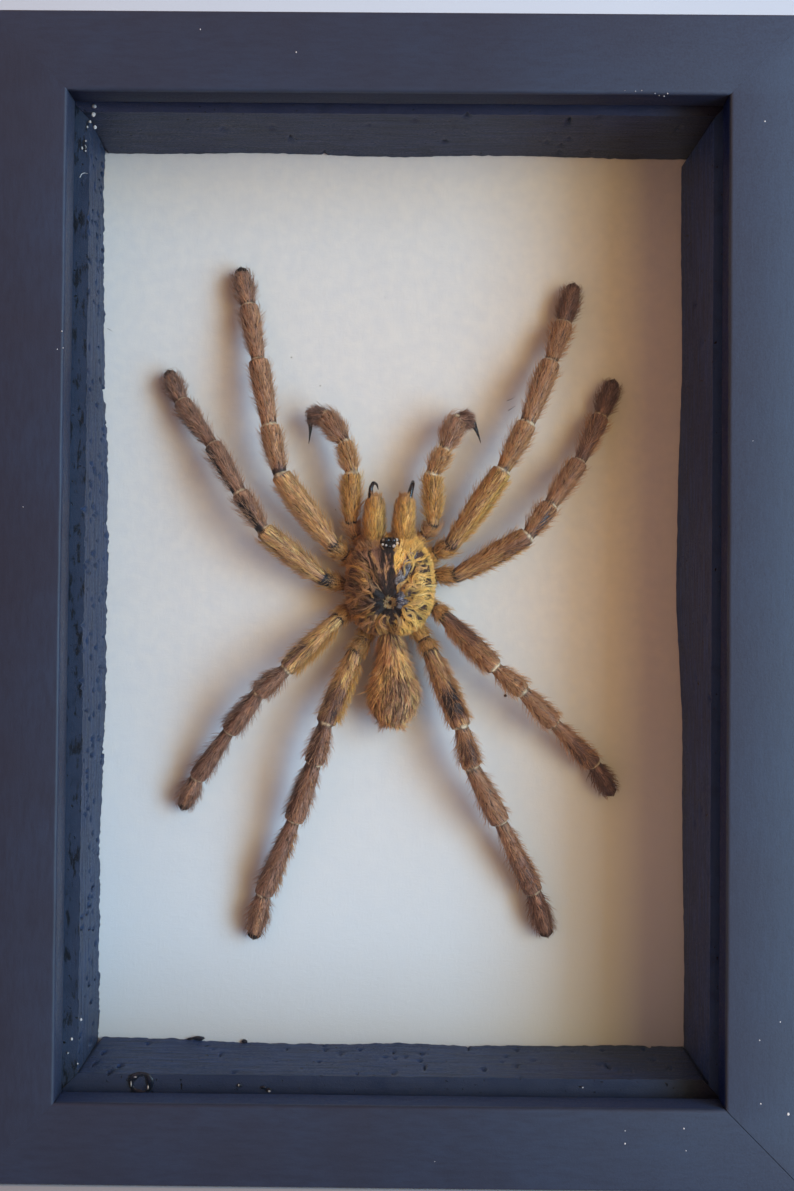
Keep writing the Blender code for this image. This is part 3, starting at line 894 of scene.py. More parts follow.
class Coat:
    """The hairs of one piece, gathered as arrays and joined in one mesh."""

    HUE_EDGES = (-0.006, 0.006, 0.0)

    def __init__(self, seed: int) -> None:
        """Starts an empty coat with its own seeded numbers.

        Args:
            seed: The seed of its random numbers.
        """
        self.rng = np.random.default_rng(seed)
        self.points: list[Array] = []
        self.corners: list[Array] = []
        self.tones: list[Array] = []
        self.count = 0

    def _keep(self, rings: Array, path: Array, pigment: Array, light: Array) -> None:
        """Adds hairs that run from rings of two or three corners to one at the tip.

        Args:
            rings: (hairs, points, corners, 3) places beside each point of the paths.
            path: (hairs, points, 3) from root to tip.
            pigment: (hairs,) colour, 0 to 1.
            light: (hairs, points or 1) brightness, 0 to 1.
        """
        hairs, count, sides, _ = rings.shape
        points = np.concatenate([rings[:, :-1].reshape(hairs, -1, 3), path[:, -1:]], axis=1)
        hue, light = np.clip(pigment, 0.01, 0.99)[:, None, None], light + np.zeros((hairs, count))
        hues = (hue + np.array(self.HUE_EDGES[:sides]) + 0 * light[:, :-1, None]).reshape(hairs, -1)
        hues = np.concatenate([hues, hue[:, :, 0]], axis=1)
        lights = np.concatenate([np.repeat(light[:, :-1], sides, axis=1), light[:, -1:]], axis=1)
        walls, pattern = (1, []) if sides == 2 else (sides, [(2, 1, 0)])
        for step in range(count - 2):
            for side in range(walls):
                low, beside = sides * step + side, sides * step + (side + 1) % sides
                pattern += [(low, beside, beside + sides), (low, beside + sides, low + sides)]
        last = sides * (count - 2)
        pattern += [(last + side, last + (side + 1) % sides, last + sides) for side in range(walls)]
        first = self.count + np.arange(hairs)[:, None, None] * points.shape[1]
        self.points.append(points.reshape(-1, 3))
        self.tones.append(np.stack([hues, np.clip(lights, 0.01, 0.99)], axis=2).reshape(-1, 2))
        self.corners.append((first + np.array(pattern)[None]).reshape(-1, 3))
        self.count += hairs * points.shape[1]

    def blades(self, path: Array, facing: Array, width: Array | float, pigment: Array, light: Array) -> None:
        """Adds flat tapering hairs.

        Args:
            path: (hairs, points, 3) from root to tip.
            facing: The same shape, the way that the flat side faces.
            width: Width at the root, one for all or one a hair.
            pigment: (hairs,) colour, 0 to 1.
            light: (hairs, points or 1) brightness, 0 to 1.
        """
        beside = unit(np.cross(np.gradient(path, axis=1), facing))
        taper = np.linspace(1.0, 0.15, path.shape[1]) ** 0.7
        half = np.reshape(width, (-1, 1, 1)) * 0.5 * taper[None, :, None]
        self._keep(np.stack([path - beside * half, path + beside * half], axis=2), path, pigment, light)

    def bristles(self, path: Array, width: float, pigment: Array, light: Array) -> None:
        """Adds round, three-sided hairs that stand free.

        Args:
            path: (hairs, points, 3) from root to tip.
            width: The width at the root, in metres.
            pigment: (hairs,) colour, 0 to 1.
            light: (hairs, points or 1) brightness, 0 to 1.
        """
        run = unit(np.gradient(path, axis=1))
        first = unit(np.cross(run, np.array([0.31, -0.83, 0.47])))
        second = np.cross(run, first)
        half = width * 0.5 * np.linspace(1.0, 0.2, path.shape[1])[None, :, None]
        turns = (0.0, FULL_TURN / 3, 2 * FULL_TURN / 3)
        rings = [path + half * (first * math.cos(turn) + second * math.sin(turn)) for turn in turns]
        self._keep(np.stack(rings, axis=2), path, pigment, light)

    def piece(self, name: str, finish: Finish, slot: Slot, replaced: Sequence[str] = ()) -> Object:
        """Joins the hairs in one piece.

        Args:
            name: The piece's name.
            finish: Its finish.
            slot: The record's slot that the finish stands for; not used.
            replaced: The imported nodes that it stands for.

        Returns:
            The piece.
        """
        points, corners = np.concatenate(self.points), np.concatenate(self.corners)
        tones = np.concatenate(self.tones)
        mesh = bpy.data.meshes.new(name)
        mesh.vertices.add(len(points))
        mesh.vertices.foreach_set("co", points.astype(np.float32).ravel())
        mesh.loops.add(corners.size)
        mesh.loops.foreach_set("vertex_index", corners.astype(np.int32).ravel())
        mesh.polygons.add(len(corners))
        mesh.polygons.foreach_set("loop_start", np.arange(0, corners.size, 3, dtype=np.int32))
        mesh.update(calc_edges=True)
        layer = mesh.uv_layers.new(name=BAKE_MAP)
        layer.data.foreach_set("uv", tones[corners.ravel()].astype(np.float32).ravel())
        mesh.shade_smooth()
        return enter(mesh, name, finish, replaced)


# ---------------------------------------------------------------- box frame


@dataclass
class Moulding:
    """The four painted rails: mitred bars with a lip in front that holds the glass."""

    layout: Layout
    lip_depth: float = 4.6 * MM
    lip_overhang: float = 5.0 * MM
    edge_round: float = 0.5 * MM
    slice_length: float = 3.0 * MM
    wander: float = 0.05 * MM

    def section(self) -> list[tuple[float, float]]:
        """Corners of a rail's section: distance in from its outer edge, and depth."""
        front, back = self.layout.low.y + 0.04 * MM, self.layout.high.y
        face, lip = self.layout.face_width, self.layout.low.y + self.lip_depth
        wall = face - self.lip_overhang
        return [(0.0, front), (0.0, back), (wall, back), (wall, lip), (face, lip), (face, front)]

    def bar(self, side: Side) -> BMesh:
        """A bar of the section, its ends cut at 45 degrees, drawn for the bottom.

        Args:
            side: The side that it is as long as.

        Returns:
            The bar.
        """
        reach, half = self.layout.reach(side), self.layout.length(side) / 2
        start, end = (corner.value * MM for corner in side.value[1:])
        bm = bmesh.new()
        corners = [(-(half - start - inward), depth, inward - reach) for inward, depth in self.section()]
        face = bm.faces.new([bm.verts.new(corner) for corner in corners])
        for vert in new_verts(bmesh.ops.extrude_face_region(bm, geom=[face], use_keep_orig=True)):
            vert.co.x = half - end - (vert.co.z + reach)
        return bm

    def rail(self, side: Side) -> Object:
        """One rail, rounded along its edges and a little uneven as hand-painted wood is.

        Args:
            side: The rail's side.

        Returns:
            The piece.
        """
        bm = self.bar(side)
        wall_line = self.layout.face_width - self.lip_overhang - self.layout.reach(side)
        long_edges = [
            edge for edge in bm.edges
            if abs(edge.verts[0].co.x - edge.verts[1].co.x) > 2 * self.layout.face_width
            and abs(edge.verts[0].co.z - wall_line) > self.edge_round
        ]
        round_off(bm, long_edges, self.edge_round, 4)
        half, reach = self.layout.length(side) / 2, self.layout.reach(side)
        cut = -half + self.slice_length
        while cut < half:
            cut_at(bm, cut)
            cut += self.slice_length
        for vert in bm.verts:
            x, y, z = vert.co
            wave = noise.noise_vector(Vector((x * 160, y * 300, z * 90 + side.value[0])))
            apart = min(1.0, max(0.0, (half - abs(x) - z - reach) / self.slice_length))
            if z > wall_line + self.edge_round:
                vert.co.z += wave.z * self.wander * apart
        bm.transform(self.layout.matrix(side))
        node = f"frame_rail_{side.label}"
        return solid(bm, f"painted_rail_{side.label}", RAIL_PAINTS[side], [node], crease=50)

    def build(self) -> None:
        """All four rails."""
        for side in Side:
            self.rail(side)


@dataclass(frozen=True)
class Wall:
    """How one spacer strip looks: how far it stands in at glass and paper (mm), its wear and its pits.

    Step is the spacing of its points.  The edge is how much further it stands in at the paper, at even
    steps from end to end of the opening.
    """

    at_glass: float
    at_paper: float
    ragged: float
    pits: int
    rough: float
    step: float
    edge: tuple[float, ...]


@dataclass
class Spacers:
    """Rough black-painted strips between the glass and the paper."""

    layout: Layout
    seat: float = 6.9 * MM
    tight: float = 0.05 * MM
    walls: dict[Side, Wall] = field(default_factory=lambda: {
        Side.LEFT: Wall(1.5, 0.1, 0.2, 190, 0.08, 0.3, (-0.6, -0.3, 0.6, 0.7, 0.6, 0.0, 0.2)),
        Side.RIGHT: Wall(0.6, 0.8, 0.06, 8, 0.02, 0.8, (-0.4, 0.0, 0.1, 1.2, 1.0, 0.4, 0.7)),
        Side.TOP: Wall(0.3, 0.3, 0.09, 16, 0.03, 0.6, (0.0, -0.3, -0.4, 0.0, -0.3, -0.6, -0.3)),
        Side.BOTTOM: Wall(1.6, 0.7, 0.14, 46, 0.05, 0.4, (0.2, -0.4, -0.5, -0.2, -0.5, -0.4, -0.2)),
    })

    def relief(self, side: Side, along: Array, depth: Array) -> Array:
        """Works out how far a strip stands in.

        Args:
            side: The strip's side.
            along: Places along it in mm from its middle.
            depth: Places behind the glass in mm.

        Returns:
            How far it stands in, in mm.
        """
        wall = self.walls[side]
        rng = np.random.default_rng(side.value[0] + 5)
        deep = (self.layout.spacer_back - self.layout.spacer_front) / MM
        share = depth / deep
        span = 68.0 if side.upright else 44.5
        inward = wall.at_glass + (wall.at_paper - wall.at_glass) * share
        inward += np.interp(along, np.linspace(-span, span, len(wall.edge)), wall.edge) * share ** 1.5
        seed = side.value[0]
        coarse, fine, grain = Ripple(seed + 1), Ripple(seed + 2), Ripple(seed + 3, 64)
        inward += wall.rough * 2 * (coarse(along / 9.0, depth / 7.0) - 0.5)
        inward += wall.rough * 1.6 * (grain(depth / 0.7, along / 4.0) - 0.5)
        edge = np.maximum(np.exp(-((deep - depth) / 1.2)), 0.6 * np.exp(-(depth / 0.9)))
        jag = fine(along / 1.3, 0.5 + 0 * along) + 0.6 * grain(along / 0.45, 3.5 + 0 * along) - 0.8
        inward += wall.ragged * 2.2 * jag * edge
        half = self.layout.length(side) / 2 / MM
        for _ in range(wall.pits):
            place, inwards = rng.uniform(-half, half), rng.uniform(0.0, deep)
            long, tall, sunk = rng.uniform(0.35, 1.2), rng.uniform(0.18, 0.45), rng.uniform(0.3, 0.95)
            near = (along - place) ** 2 / tall ** 2 + (depth - inwards) ** 2 / long ** 2
            inward -= sunk * np.exp(-near)
        return inward

    def strip(self, side: Side) -> Object:
        """One strip, grown back from its relieved inner face to its seat in the rebate.

        Args:
            side: The strip's side.

        Returns:
            The piece.
        """
        layout, wall = self.layout, self.walls[side]
        half, reach = layout.length(side) / 2, layout.reach(side)
        deep = layout.spacer_back - layout.spacer_front
        columns, rows = int(2 * half / MM / wall.step), int(deep / MM / wall.step)
        share = np.linspace(-1.0, 1.0, columns + 1)[None, :]
        depth = np.linspace(0.0, deep, rows + 1)[:, None] + 0 * share
        along = share * half + 0 * depth
        inward = layout.face_width + self.relief(side, along / MM, depth / MM) * MM
        across = share * (half - inward - self.tight)
        bm = shell(np.stack([across, layout.spacer_front + depth, inward - reach], axis=-1), closed=False)
        for vert in grow_rim(bm):
            vert.co.x *= (half - self.seat) / (half - (vert.co.z + reach) - self.tight)
            vert.co.z = self.seat - reach
        bmesh.ops.contextual_create(bm, geom=rim_of(bm))
        bm.transform(layout.matrix(side))
        node = f"spacer_{side.label}"
        return solid(bm, f"rough_strip_{side.label}", STRIP_PAINTS[side], [node], crease=70)

    def build(self) -> None:
        """All four strips."""
        for side in Side:
            self.strip(side)


@dataclass
class Sheets:
    """The flat layers: glass, paper and board."""

    layout: Layout
    sag: float = 0.09
    spacing: float = 1.6 * MM

    def paper(self) -> Object:
        """The white paper, very slightly cockled."""
        low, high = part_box("backing_paper")
        across = np.linspace(low.x, high.x, int((high.x - low.x) / self.spacing) + 1)[None, :]
        rise = np.linspace(low.z, high.z, int((high.z - low.z) / self.spacing) + 1)[:, None]
        swell = Ripple(81)
        lift = self.sag * MM * (swell(across / MM / 26 + 0 * rise, rise / MM / 34 + 0 * across) - 0.5)
        front = np.stack([across + 0 * rise, low.y + np.maximum(lift, 0.0), rise + 0 * across], axis=-1)
        bm = shell(front, closed=False)
        for vert in grow_rim(bm):
            vert.co.y = high.y
        bmesh.ops.contextual_create(bm, geom=rim_of(bm))
        return solid(bm, "paper_sheet", PAPER, ["backing_paper"])

    def build(self) -> None:
        """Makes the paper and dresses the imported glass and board."""
        self.paper()
        for node, finish in (("glass_pane", GLASS), ("backing_board", BOARD)):
            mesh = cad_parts[node].data
            mesh.materials.clear()
            mesh.materials.append(finish.material)
            LOG.info("%s: packed node with its finish", node)


@dataclass
class Fittings:
    """What holds the back in: steel points driven into the rails, and the saw-toothed hanger."""

    layout: Layout
    points: int = 8
    edge: float = 0.12 * MM
    teeth: int = 7
    hanger_gauge: float = 0.8 * MM
    hanger_rise: float = 1.2 * MM
    pin_radius: float = 1.1 * MM

    def point(self, number: int) -> Object:
        """One flat point, pressed down a little where it was struck.

        Args:
            number: The number of its node.

        Returns:
            The piece.
        """
        node = f"bent_tab_{number}"
        low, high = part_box(node)
        size, middle = high - low, (low + high) / 2
        bm = bmesh.new()
        bmesh.ops.create_cube(bm, size=1.0, matrix=Matrix.Translation(middle) @ Matrix.Diagonal((*size, 1.0)))
        lying = size.x > size.z
        inner = math.copysign(1.0, -(middle.x if lying else middle.z - self.layout.centre.z))
        axis = 0 if lying else 2
        corners = [
            edge for edge in bm.edges
            if abs(edge.verts[0].co.y - edge.verts[1].co.y) > size.y / 2
            and (edge.verts[0].co[axis] - middle[axis]) * inner > 0
        ]
        round_off(bm, corners, min(size.x, size.z) * 0.3, 5)
        rims = [edge for edge in bm.edges if abs(edge.verts[0].co.y - edge.verts[1].co.y) < size.y / 2]
        round_off(bm, rims, self.edge, 2)
        return solid(bm, f"glazing_point_{number}", STEEL, [node])

    def hanger(self) -> Object:
        """The hanger: a pressed strip with a raised, toothed middle and two round-headed pins."""
        low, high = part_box("sawtooth_hanger")
        half, tall, middle = (high.x - low.x) / 2, high.z - low.z, (low.x + high.x) / 2
        foot, knee, rise = half * 0.62, half * 0.5, self.hanger_rise
        base, gauge = self.layout.board_back + 0.3 * MM, self.hanger_gauge
        pitch = 2 * knee * 0.86 / self.teeth
        bottom: list[tuple[float, float]] = []
        for number in range(self.teeth):
            x = (number - (self.teeth - 1) / 2) * pitch
            bottom += [(x - pitch * 0.46, 0.0), (x, tall * 0.34), (x + pitch * 0.46, 0.0)]
        outline = [(-half, 0.0), *bottom, (half, 0.0), (half, tall), (-half, tall)]
        bm = bmesh.new()
        bm.faces.new([bm.verts.new((middle + x, base, high.z - tall + z)) for x, z in outline])
        for x in (-foot, -knee, knee, foot):
            cut_at(bm, middle + x)
        grown = new_verts(bmesh.ops.extrude_face_region(bm, geom=bm.faces[:], use_keep_orig=True))
        bmesh.ops.translate(bm, verts=grown, vec=(0.0, gauge, 0.0))
        for vert in bm.verts:
            vert.co.y += float(np.interp(vert.co.x - middle, (-half, -foot, -knee, knee, foot, half),
                                         (0.0, 0.0, rise, rise, 0.0, 0.0)))
        for sign in (-1, 1):
            place = Matrix.Translation((middle + sign * half * 0.81, base + gauge * 1.02, high.z - tall / 2))
            bmesh.ops.create_uvsphere(bm, u_segments=20, v_segments=10, radius=self.pin_radius,
                                      matrix=place @ Matrix.Diagonal((1.0, 0.45, 1.0, 1.0)))
        bmesh.ops.recalc_face_normals(bm, faces=bm.faces[:])
        mesh = settle(bm, "picture_hanger", 35)
        return enter(mesh, "picture_hanger", STEEL, ["sawtooth_hanger"])

    def build(self) -> None:
        """All points and the hanger."""
        for number in range(1, self.points + 1):
            self.point(number)
        self.hanger()


# ---------------------------------------------------------------- limbs


@dataclass
class Tube:
    """A limb's skin: stations along its middle line with their sideways and upward half sizes."""

    along: Array
    centre: Array
    across: Array
    up: Array
    wide: Array
    high: Array

    @classmethod
    def along_line(cls, along: Array, centre: Array, ahead: Array, wide: Array, high: Array) -> "Tube":
        """A tube whose rings are square to a line, with their up side off the paper."""
        across = unit(np.cross(ahead, np.array([0.0, -1.0, 0.0])))
        return cls(along, centre, across, np.cross(across, ahead), wide, high)

    @classmethod
    def through(cls, points: Sequence[Vector], knots: Array, radii: Array, step: float = 0.22 * MM,
                soften: float = 0.5 * MM, flat: float = 0.94) -> "Tube":
        """A tube through joints.

        Args:
            points: The joints, from the root to the tip.
            knots: Distances along the tube, in metres, at which radii are given.
            radii: The radius at each knot, in metres.
            step: Distance between stations.
            soften: How far each side of a joint the bend is spread.
            flat: Height over the paper as a share of the width.

        Returns:
            The tube.
        """
        joints = np.array([tuple(point) for point in points])
        ends = run_of(joints)
        along = np.linspace(0.0, knots[-1], max(int(knots[-1] / step), 8))
        first, last = unit(joints[1] - joints[0]), unit(joints[-1] - joints[-2])

        def place(distance: Array) -> Array:
            """Points on the broken line, carried straight on past its ends.

            Args:
                distance: Distances along the line.

            Returns:
                The points.
            """
            found = on_line(np.clip(distance, 0.0, ends[-1]), ends, joints)
            past, before = np.maximum(distance - ends[-1], 0), np.minimum(distance, 0)
            return found + past[:, None] * last + before[:, None] * first

        centre = (place(along - soften / 2) + 2 * place(along) + place(along + soften / 2)) / 4
        ahead = unit(place(along + soften) - place(along - soften))
        radius = np.interp(along, knots, radii)
        return cls.along_line(along, centre, ahead, radius, radius * flat)

    def read(self, values: Array, distance: Array) -> Array:
        """Reads between the stations.

        Args:
            values: A value at each station.
            distance: Distances along the tube.

        Returns:
            The values there.
        """
        if values.ndim == 1:
            return np.interp(distance, self.along, values)
        return on_line(distance, self.along, values)

    def outward(self, distance: Array, turn: Array) -> Array:
        """The way out at a distance and a turn: 0 is the right of the limb, a quarter turn is up."""
        across, up = self.read(self.across, distance), self.read(self.up, distance)
        return unit(across * np.cos(turn)[..., None] + up * np.sin(turn)[..., None])

    def point(self, distance: Array, turn: Array, lift: Array) -> Array:
        """Finds points over the skin.

        Args:
            distance: Distances along the tube.
            turn: Turns round it.
            lift: Heights over the skin in metres.

        Returns:
            The points.
        """
        across, up = self.read(self.across, distance), self.read(self.up, distance)
        wide, high = self.read(self.wide, distance) + lift, self.read(self.high, distance) + lift
        return (self.read(self.centre, distance) + across * (wide * np.cos(turn))[..., None]
                + up * (high * np.sin(turn))[..., None])

    def skin(self, sides: int, seed: int, wrinkle: float = 0.04) -> BMesh:
        """Makes the closed skin, wrinkled lengthways.

        Args:
            sides: How many sides it has.
            seed: The seed of its wrinkles.
            wrinkle: How deep they are in mm.

        Returns:
            The skin.
        """
        turn = np.linspace(0.0, FULL_TURN, sides + 1)[None, :] + 0 * self.along[:, None]
        distance = self.along[:, None] + 0 * turn
        ripple, folds = Ripple(seed, 24), turn / FULL_TURN * 24
        fold = ripple(folds, distance / MM / 2.4) + 0.5 * ripple(folds, distance / MM / 0.7)
        fold[:, -1] = fold[:, 0]
        return shell(self.point(distance, turn, (fold - 0.75) * wrinkle * MM))

    def coordinates(self, places: Array) -> tuple[Array, Array]:
        """Finds where points lie on the skin.

        Args:
            places: Points near the skin.

        Returns:
            Their distances along the tube and their turns round it.
        """
        near = np.empty(len(places), int)
        for start in range(0, len(places), 2000):
            chunk = places[start:start + 2000]
            gaps = ((chunk[:, None, :] - self.centre[None]) ** 2).sum(-1)
            near[start:start + 2000] = gaps.argmin(1)
        away = places - self.centre[near]
        turn = np.arctan2((away * self.up[near]).sum(-1), (away * self.across[near]).sum(-1)) % FULL_TURN
        return self.along[near], turn


# The slate bare skin stands in for the shine of bare cuticle: painted sheen.
BLACK, BARE_SHEEN_SLATE = (0.010, 0.009, 0.012, 1.0), (0.10, 0.105, 0.125, 1.0)
BARE_SKIN, JOINT_BLACK = (0.012, 0.010, 0.013, 1.0), (0.012, 0.010, 0.012, 1.0)
PALE = 0.92


class Part(Enum):
    """Segments of a limb, from the body outwards."""

    COXA = 0
    TROCHANTER = 1
    FEMUR = 2
    PATELLA = 3
    TIBIA = 4
    METATARSUS = 5
    TARSUS = 6


@dataclass(frozen=True)
class Pelt:
    """How one segment is haired."""

    pigment: float
    dark: float = 0.35
    length: float = 1.25
    lift: float = 0.2
    thick: float = 1.0
    scatter: float = 0.05
    light: float = 1.0
    pale: float = 0.0


@dataclass(frozen=True)
class Patch:
    """A patch of another colour on a segment: where it lies, its pigment and how hairy it is."""

    part: Part
    start: float
    end: float
    turn: float
    spread: float
    pigment: float
    bare: float = 0.0
    skin: Colour = BARE_SKIN


@dataclass(frozen=True)
class Fringe:
    """Hairs that stand out from one side of a segment."""

    part: Part
    turn: float
    spread: float
    count: int
    length: float
    pigment: float


def turned(distance: Array, centre: float) -> Array:
    """The angle between turns and a centre, in degrees, 0 to 180."""
    return np.abs((np.degrees(distance) - centre + 180) % 360 - 180)


@dataclass
class Limb:
    """A jointed hairy limb: skin, combed fur, pale rings at the joints and standing hairs."""

    layout: Layout
    name: str
    root: tuple[float, float]
    start: tuple[float, float]
    segments: tuple[tuple[float, float], ...]
    heights: tuple[float, ...]
    radii: tuple[tuple[float, float, float], ...]
    pelts: dict[Part, Pelt]
    patches: tuple[Patch, ...] = ()
    fringes: tuple[Fringe, ...] = ()
    thickness: float = 1.0
    hairs_per_mm: int = 190
    fur_depth: float = 0.13
    fur_width: float = 0.105
    bristle_width: float = 0.068
    locks_round: float = 46.0
    claw_hairs: int = 420
    seed: int = 1
    blunt: float = 0.35
    sooty: float = 1.0
    hair_slot: Slot = Slot.LEG_HAIR
    hair: Finish = LEG_HAIR
    skin_tint: Colour = seen(84, 58, 42)
    ring_tint: Colour = seen(238, 220, 186)

    def __post_init__(self) -> None:
        """Makes the noises that sort the hair in locks, streaks and stains."""
        self.streak, self.lock, self.grain = (Ripple(self.seed + number, 48) for number in (11, 12, 14))
        self.stain = Ripple(self.seed + 13, 24)

    def joints(self) -> list[Vector]:
        """The joints, walked from the start by lengths and headings."""
        x, z = self.start
        flat = [self.root, self.start]
        for (length, heading), low, high in zip(self.segments, self.heights[1:], self.heights[2:]):
            run = math.sqrt(max(length ** 2 - (high - low) ** 2, 0.0))
            x += run * math.cos(math.radians(heading))
            z += run * math.sin(math.radians(heading))
            flat.append((x, z))
        return [self.layout.at(x, z, height) for (x, z), height in zip(flat, self.heights)]

    def ends(self) -> Array:
        """Distance along the limb at each joint."""
        joints = self.joints()
        runs = [(after - before).length for before, after in zip(joints, joints[1:])]
        return np.concatenate([[0.0], np.cumsum(runs)])

    def swell(self, number: int, run: float) -> list[tuple[float, float]]:
        """Lists a segment's radii: waist, belly, and a step or the tip.

        Args:
            number: The segment's number.
            run: Its length in metres.

        Returns:
            Shares of the segment's run and the radius in mm there.
        """
        first, middle, final = self.radii[number]
        waist = first * (0.96 if number > 1 else 0.98)

        def share(length: float) -> float:
            """A length in mm as a share of the run."""
            return length * MM / run

        shape = [(0.0, waist), (share(0.3), waist), (0.1, first * 0.97), (0.2, first)]
        shape += [(0.55, middle), (0.86, final)]
        if number < len(self.radii) - 1:
            return shape + [(1.0 - share(0.35), final * 0.98), (1.0 - share(0.08), final * 0.95)]
        past = [1.0 + share(part * self.blunt) for part in (0.6, 1.2, 1.5)]
        shape += [(0.93, final * 0.98), (1.0, final * 0.86)]
        return shape + list(zip(past, (final * 0.7, final * 0.42, 0.06)))

    def tube(self) -> Tube:
        """The limb's skin with a waist at each joint and a step at each segment's end."""
        ends = self.ends()
        knots, radii = [], []
        for number in range(len(self.radii)):
            low, run = ends[number], ends[number + 1] - ends[number]
            for share, radius in self.swell(number, run):
                knots.append(low + share * run)
                radii.append(max(radius * self.thickness - self.fur_depth, 0.04) * MM)
        return Tube.through(self.joints(), np.array(knots), np.array(radii))

    def in_patch(self, patch: Patch, distance: Array, turn: Array) -> Array:
        """How far inside a patch places are, 0 to 1.

        Args:
            patch: The patch.
            distance: Distances along the limb.
            turn: Turns round it.

        Returns:
            1 well inside, 0 outside.
        """
        ends = self.ends()
        low, high = ends[patch.part.value], ends[patch.part.value + 1]
        share = (distance - low) / (high - low)
        edge = 0.07
        within = smooth_step(share, patch.start - edge, patch.start + edge)
        within = within * (1 - smooth_step(share, patch.end - edge, patch.end + edge))
        return within * (1 - smooth_step(turned(turn, patch.turn), patch.spread * 0.7, patch.spread * 1.3))

    def tint(self, tube: Tube) -> Tint:
        """The skin's colour: dark under the fur, pale at the joints, black or grey in bare patches.

        Args:
            tube: The limb's skin.

        Returns:
            The function that colours the skin.
        """
        ends = self.ends()

        def colours(places: Array, _: Array) -> Array:
            """Colours the skin's vertices.

            Args:
                places: The vertices.

            Returns:
                Their colours.
            """
            distance, turn = tube.coordinates(places)
            made = np.tile(np.array(self.skin_tint), (len(places), 1))
            for patch in self.patches:
                share = self.in_patch(patch, distance, turn) * patch.bare
                made = mixed(made, np.array(patch.skin), share[:, None])
            for end in ends[3:-1]:
                worn = smooth_step(self.stain(turn * 3, end / MM + 0 * turn), 0.18, 0.6)
                share = np.exp(-(((distance - end) / (0.2 * MM)) ** 4)) * worn
                made = mixed(made, np.array(self.ring_tint), share[:, None])
            share = np.exp(-(((distance - ends[2]) / (0.3 * MM)) ** 4))
            return mixed(made, np.array(JOINT_BLACK), share[:, None])

        return colours

    def roots(self, rng: Draws, number: int, low: float, high: float) -> tuple[Array, Array]:
        """Roots a segment's hairs, fewer of them beneath and none in bare patches.

        Args:
            rng: The coat's random numbers.
            number: The segment's number.
            low: Where the hairs start along the limb.
            high: Where they end.

        Returns:
            Distance along the limb and turn round it, one each a hair.
        """
        count = int(self.hairs_per_mm * (high - low) / MM * self.pelts[Part(number)].thick)
        distance, turn = rng.uniform(low - 0.1 * MM, high, count), rng.uniform(0, FULL_TURN, count)
        keep = ~((np.sin(turn) < -0.5) & (rng.random(count) < 0.5))
        for patch in self.patches:
            keep &= rng.random(count) > self.in_patch(patch, distance, turn) * patch.bare
        return distance[keep], turn[keep]

    def laid(self, rng: Draws, tube: Tube, pelt: Pelt, distance: Array, turn: Array,
             end: float) -> tuple[Array, Array]:
        """Lays a segment's hairs along it.

        Args:
            rng: The coat's random numbers.
            tube: The limb's skin.
            pelt: How the segment is haired.
            distance: (hairs,) place of the roots along the limb.
            turn: (hairs,) place of the roots round it.
            end: Where the segment ends.

        Returns:
            The paths, drawn together in locks and low at the end, and the way that their flat sides face.
        """
        count, steps, locks = len(distance), steps_of(4), self.locks_round
        length = pelt.length * MM * rng.uniform(0.65, 1.25, count)
        ragged = rng.uniform(-0.02, 0.28, count) * MM
        length = np.minimum(length, np.maximum(end - ragged - distance, 0.35 * MM))
        cell = np.round(turn / FULL_TURN * locks + 0.8 * self.lock(turn * 7, distance / MM / 1.6))
        pull = np.clip(cell / locks * FULL_TURN - turn, -0.12, 0.12)
        path_turn = turn[:, None] + (rng.normal(0.0, 0.09, count) + pull)[:, None] * steps
        path_distance = distance[:, None] + length[:, None] * steps
        rise = pelt.lift * MM * rng.uniform(0.1, 1.3, count)[:, None] * steps ** 1.25
        high = end - 0.3 * MM
        rise = rise * (1 - 0.75 * smooth_step(path_distance, high - 1.8 * MM, high))
        path = tube.point(path_distance, path_turn, 0.02 * MM + rise)
        out = tube.outward(path_distance, path_turn)
        roll = rng.normal(0.0, 0.35, count)[:, None, None]
        return path, unit(out + roll * np.cross(out, np.gradient(path, axis=1) / MM))

    def tones(self, rng: Draws, pelt: Pelt, distance: Array, turn: Array) -> tuple[Array, Array]:
        """Colours a segment's hairs, with dark streaks, patches and bright tufts.

        Args:
            rng: The coat's random numbers.
            pelt: How the segment is haired.
            distance: (hairs,) place of the roots along the limb.
            turn: (hairs,) place of the roots round it.

        Returns:
            Pigment, one a hair, and light, one a point.
        """
        count, column = len(distance), turn / FULL_TURN * 48
        lines = self.streak(column, distance / MM / 1.9)
        fine = self.streak(column + 17, distance / MM / 1.1 + 9)
        dark = smooth_step(lines, 0.62, 0.78) * pelt.dark * 2.2 + smooth_step(fine, 0.7, 0.85) * pelt.dark
        pigment = pelt.pigment + rng.normal(0.0, pelt.scatter, count) + 0.07 * (lines - 0.5)
        pigment = np.where(rng.random(count) < pelt.pale, PALE, pigment)
        for patch in self.patches:
            pigment = mixed(pigment, patch.pigment, self.in_patch(patch, distance, turn))
        tuft = self.grain(turn / FULL_TURN * 90, distance / MM / 0.7) - 0.5
        level = 0.8 + 0.3 * tuft + rng.normal(0.0, 0.13, count) - 0.62 * np.minimum(dark, 1.0)
        return pigment, np.clip(level, 0.06, 1.0)[:, None] * (0.62 + 0.5 * steps_of(4)) * pelt.light

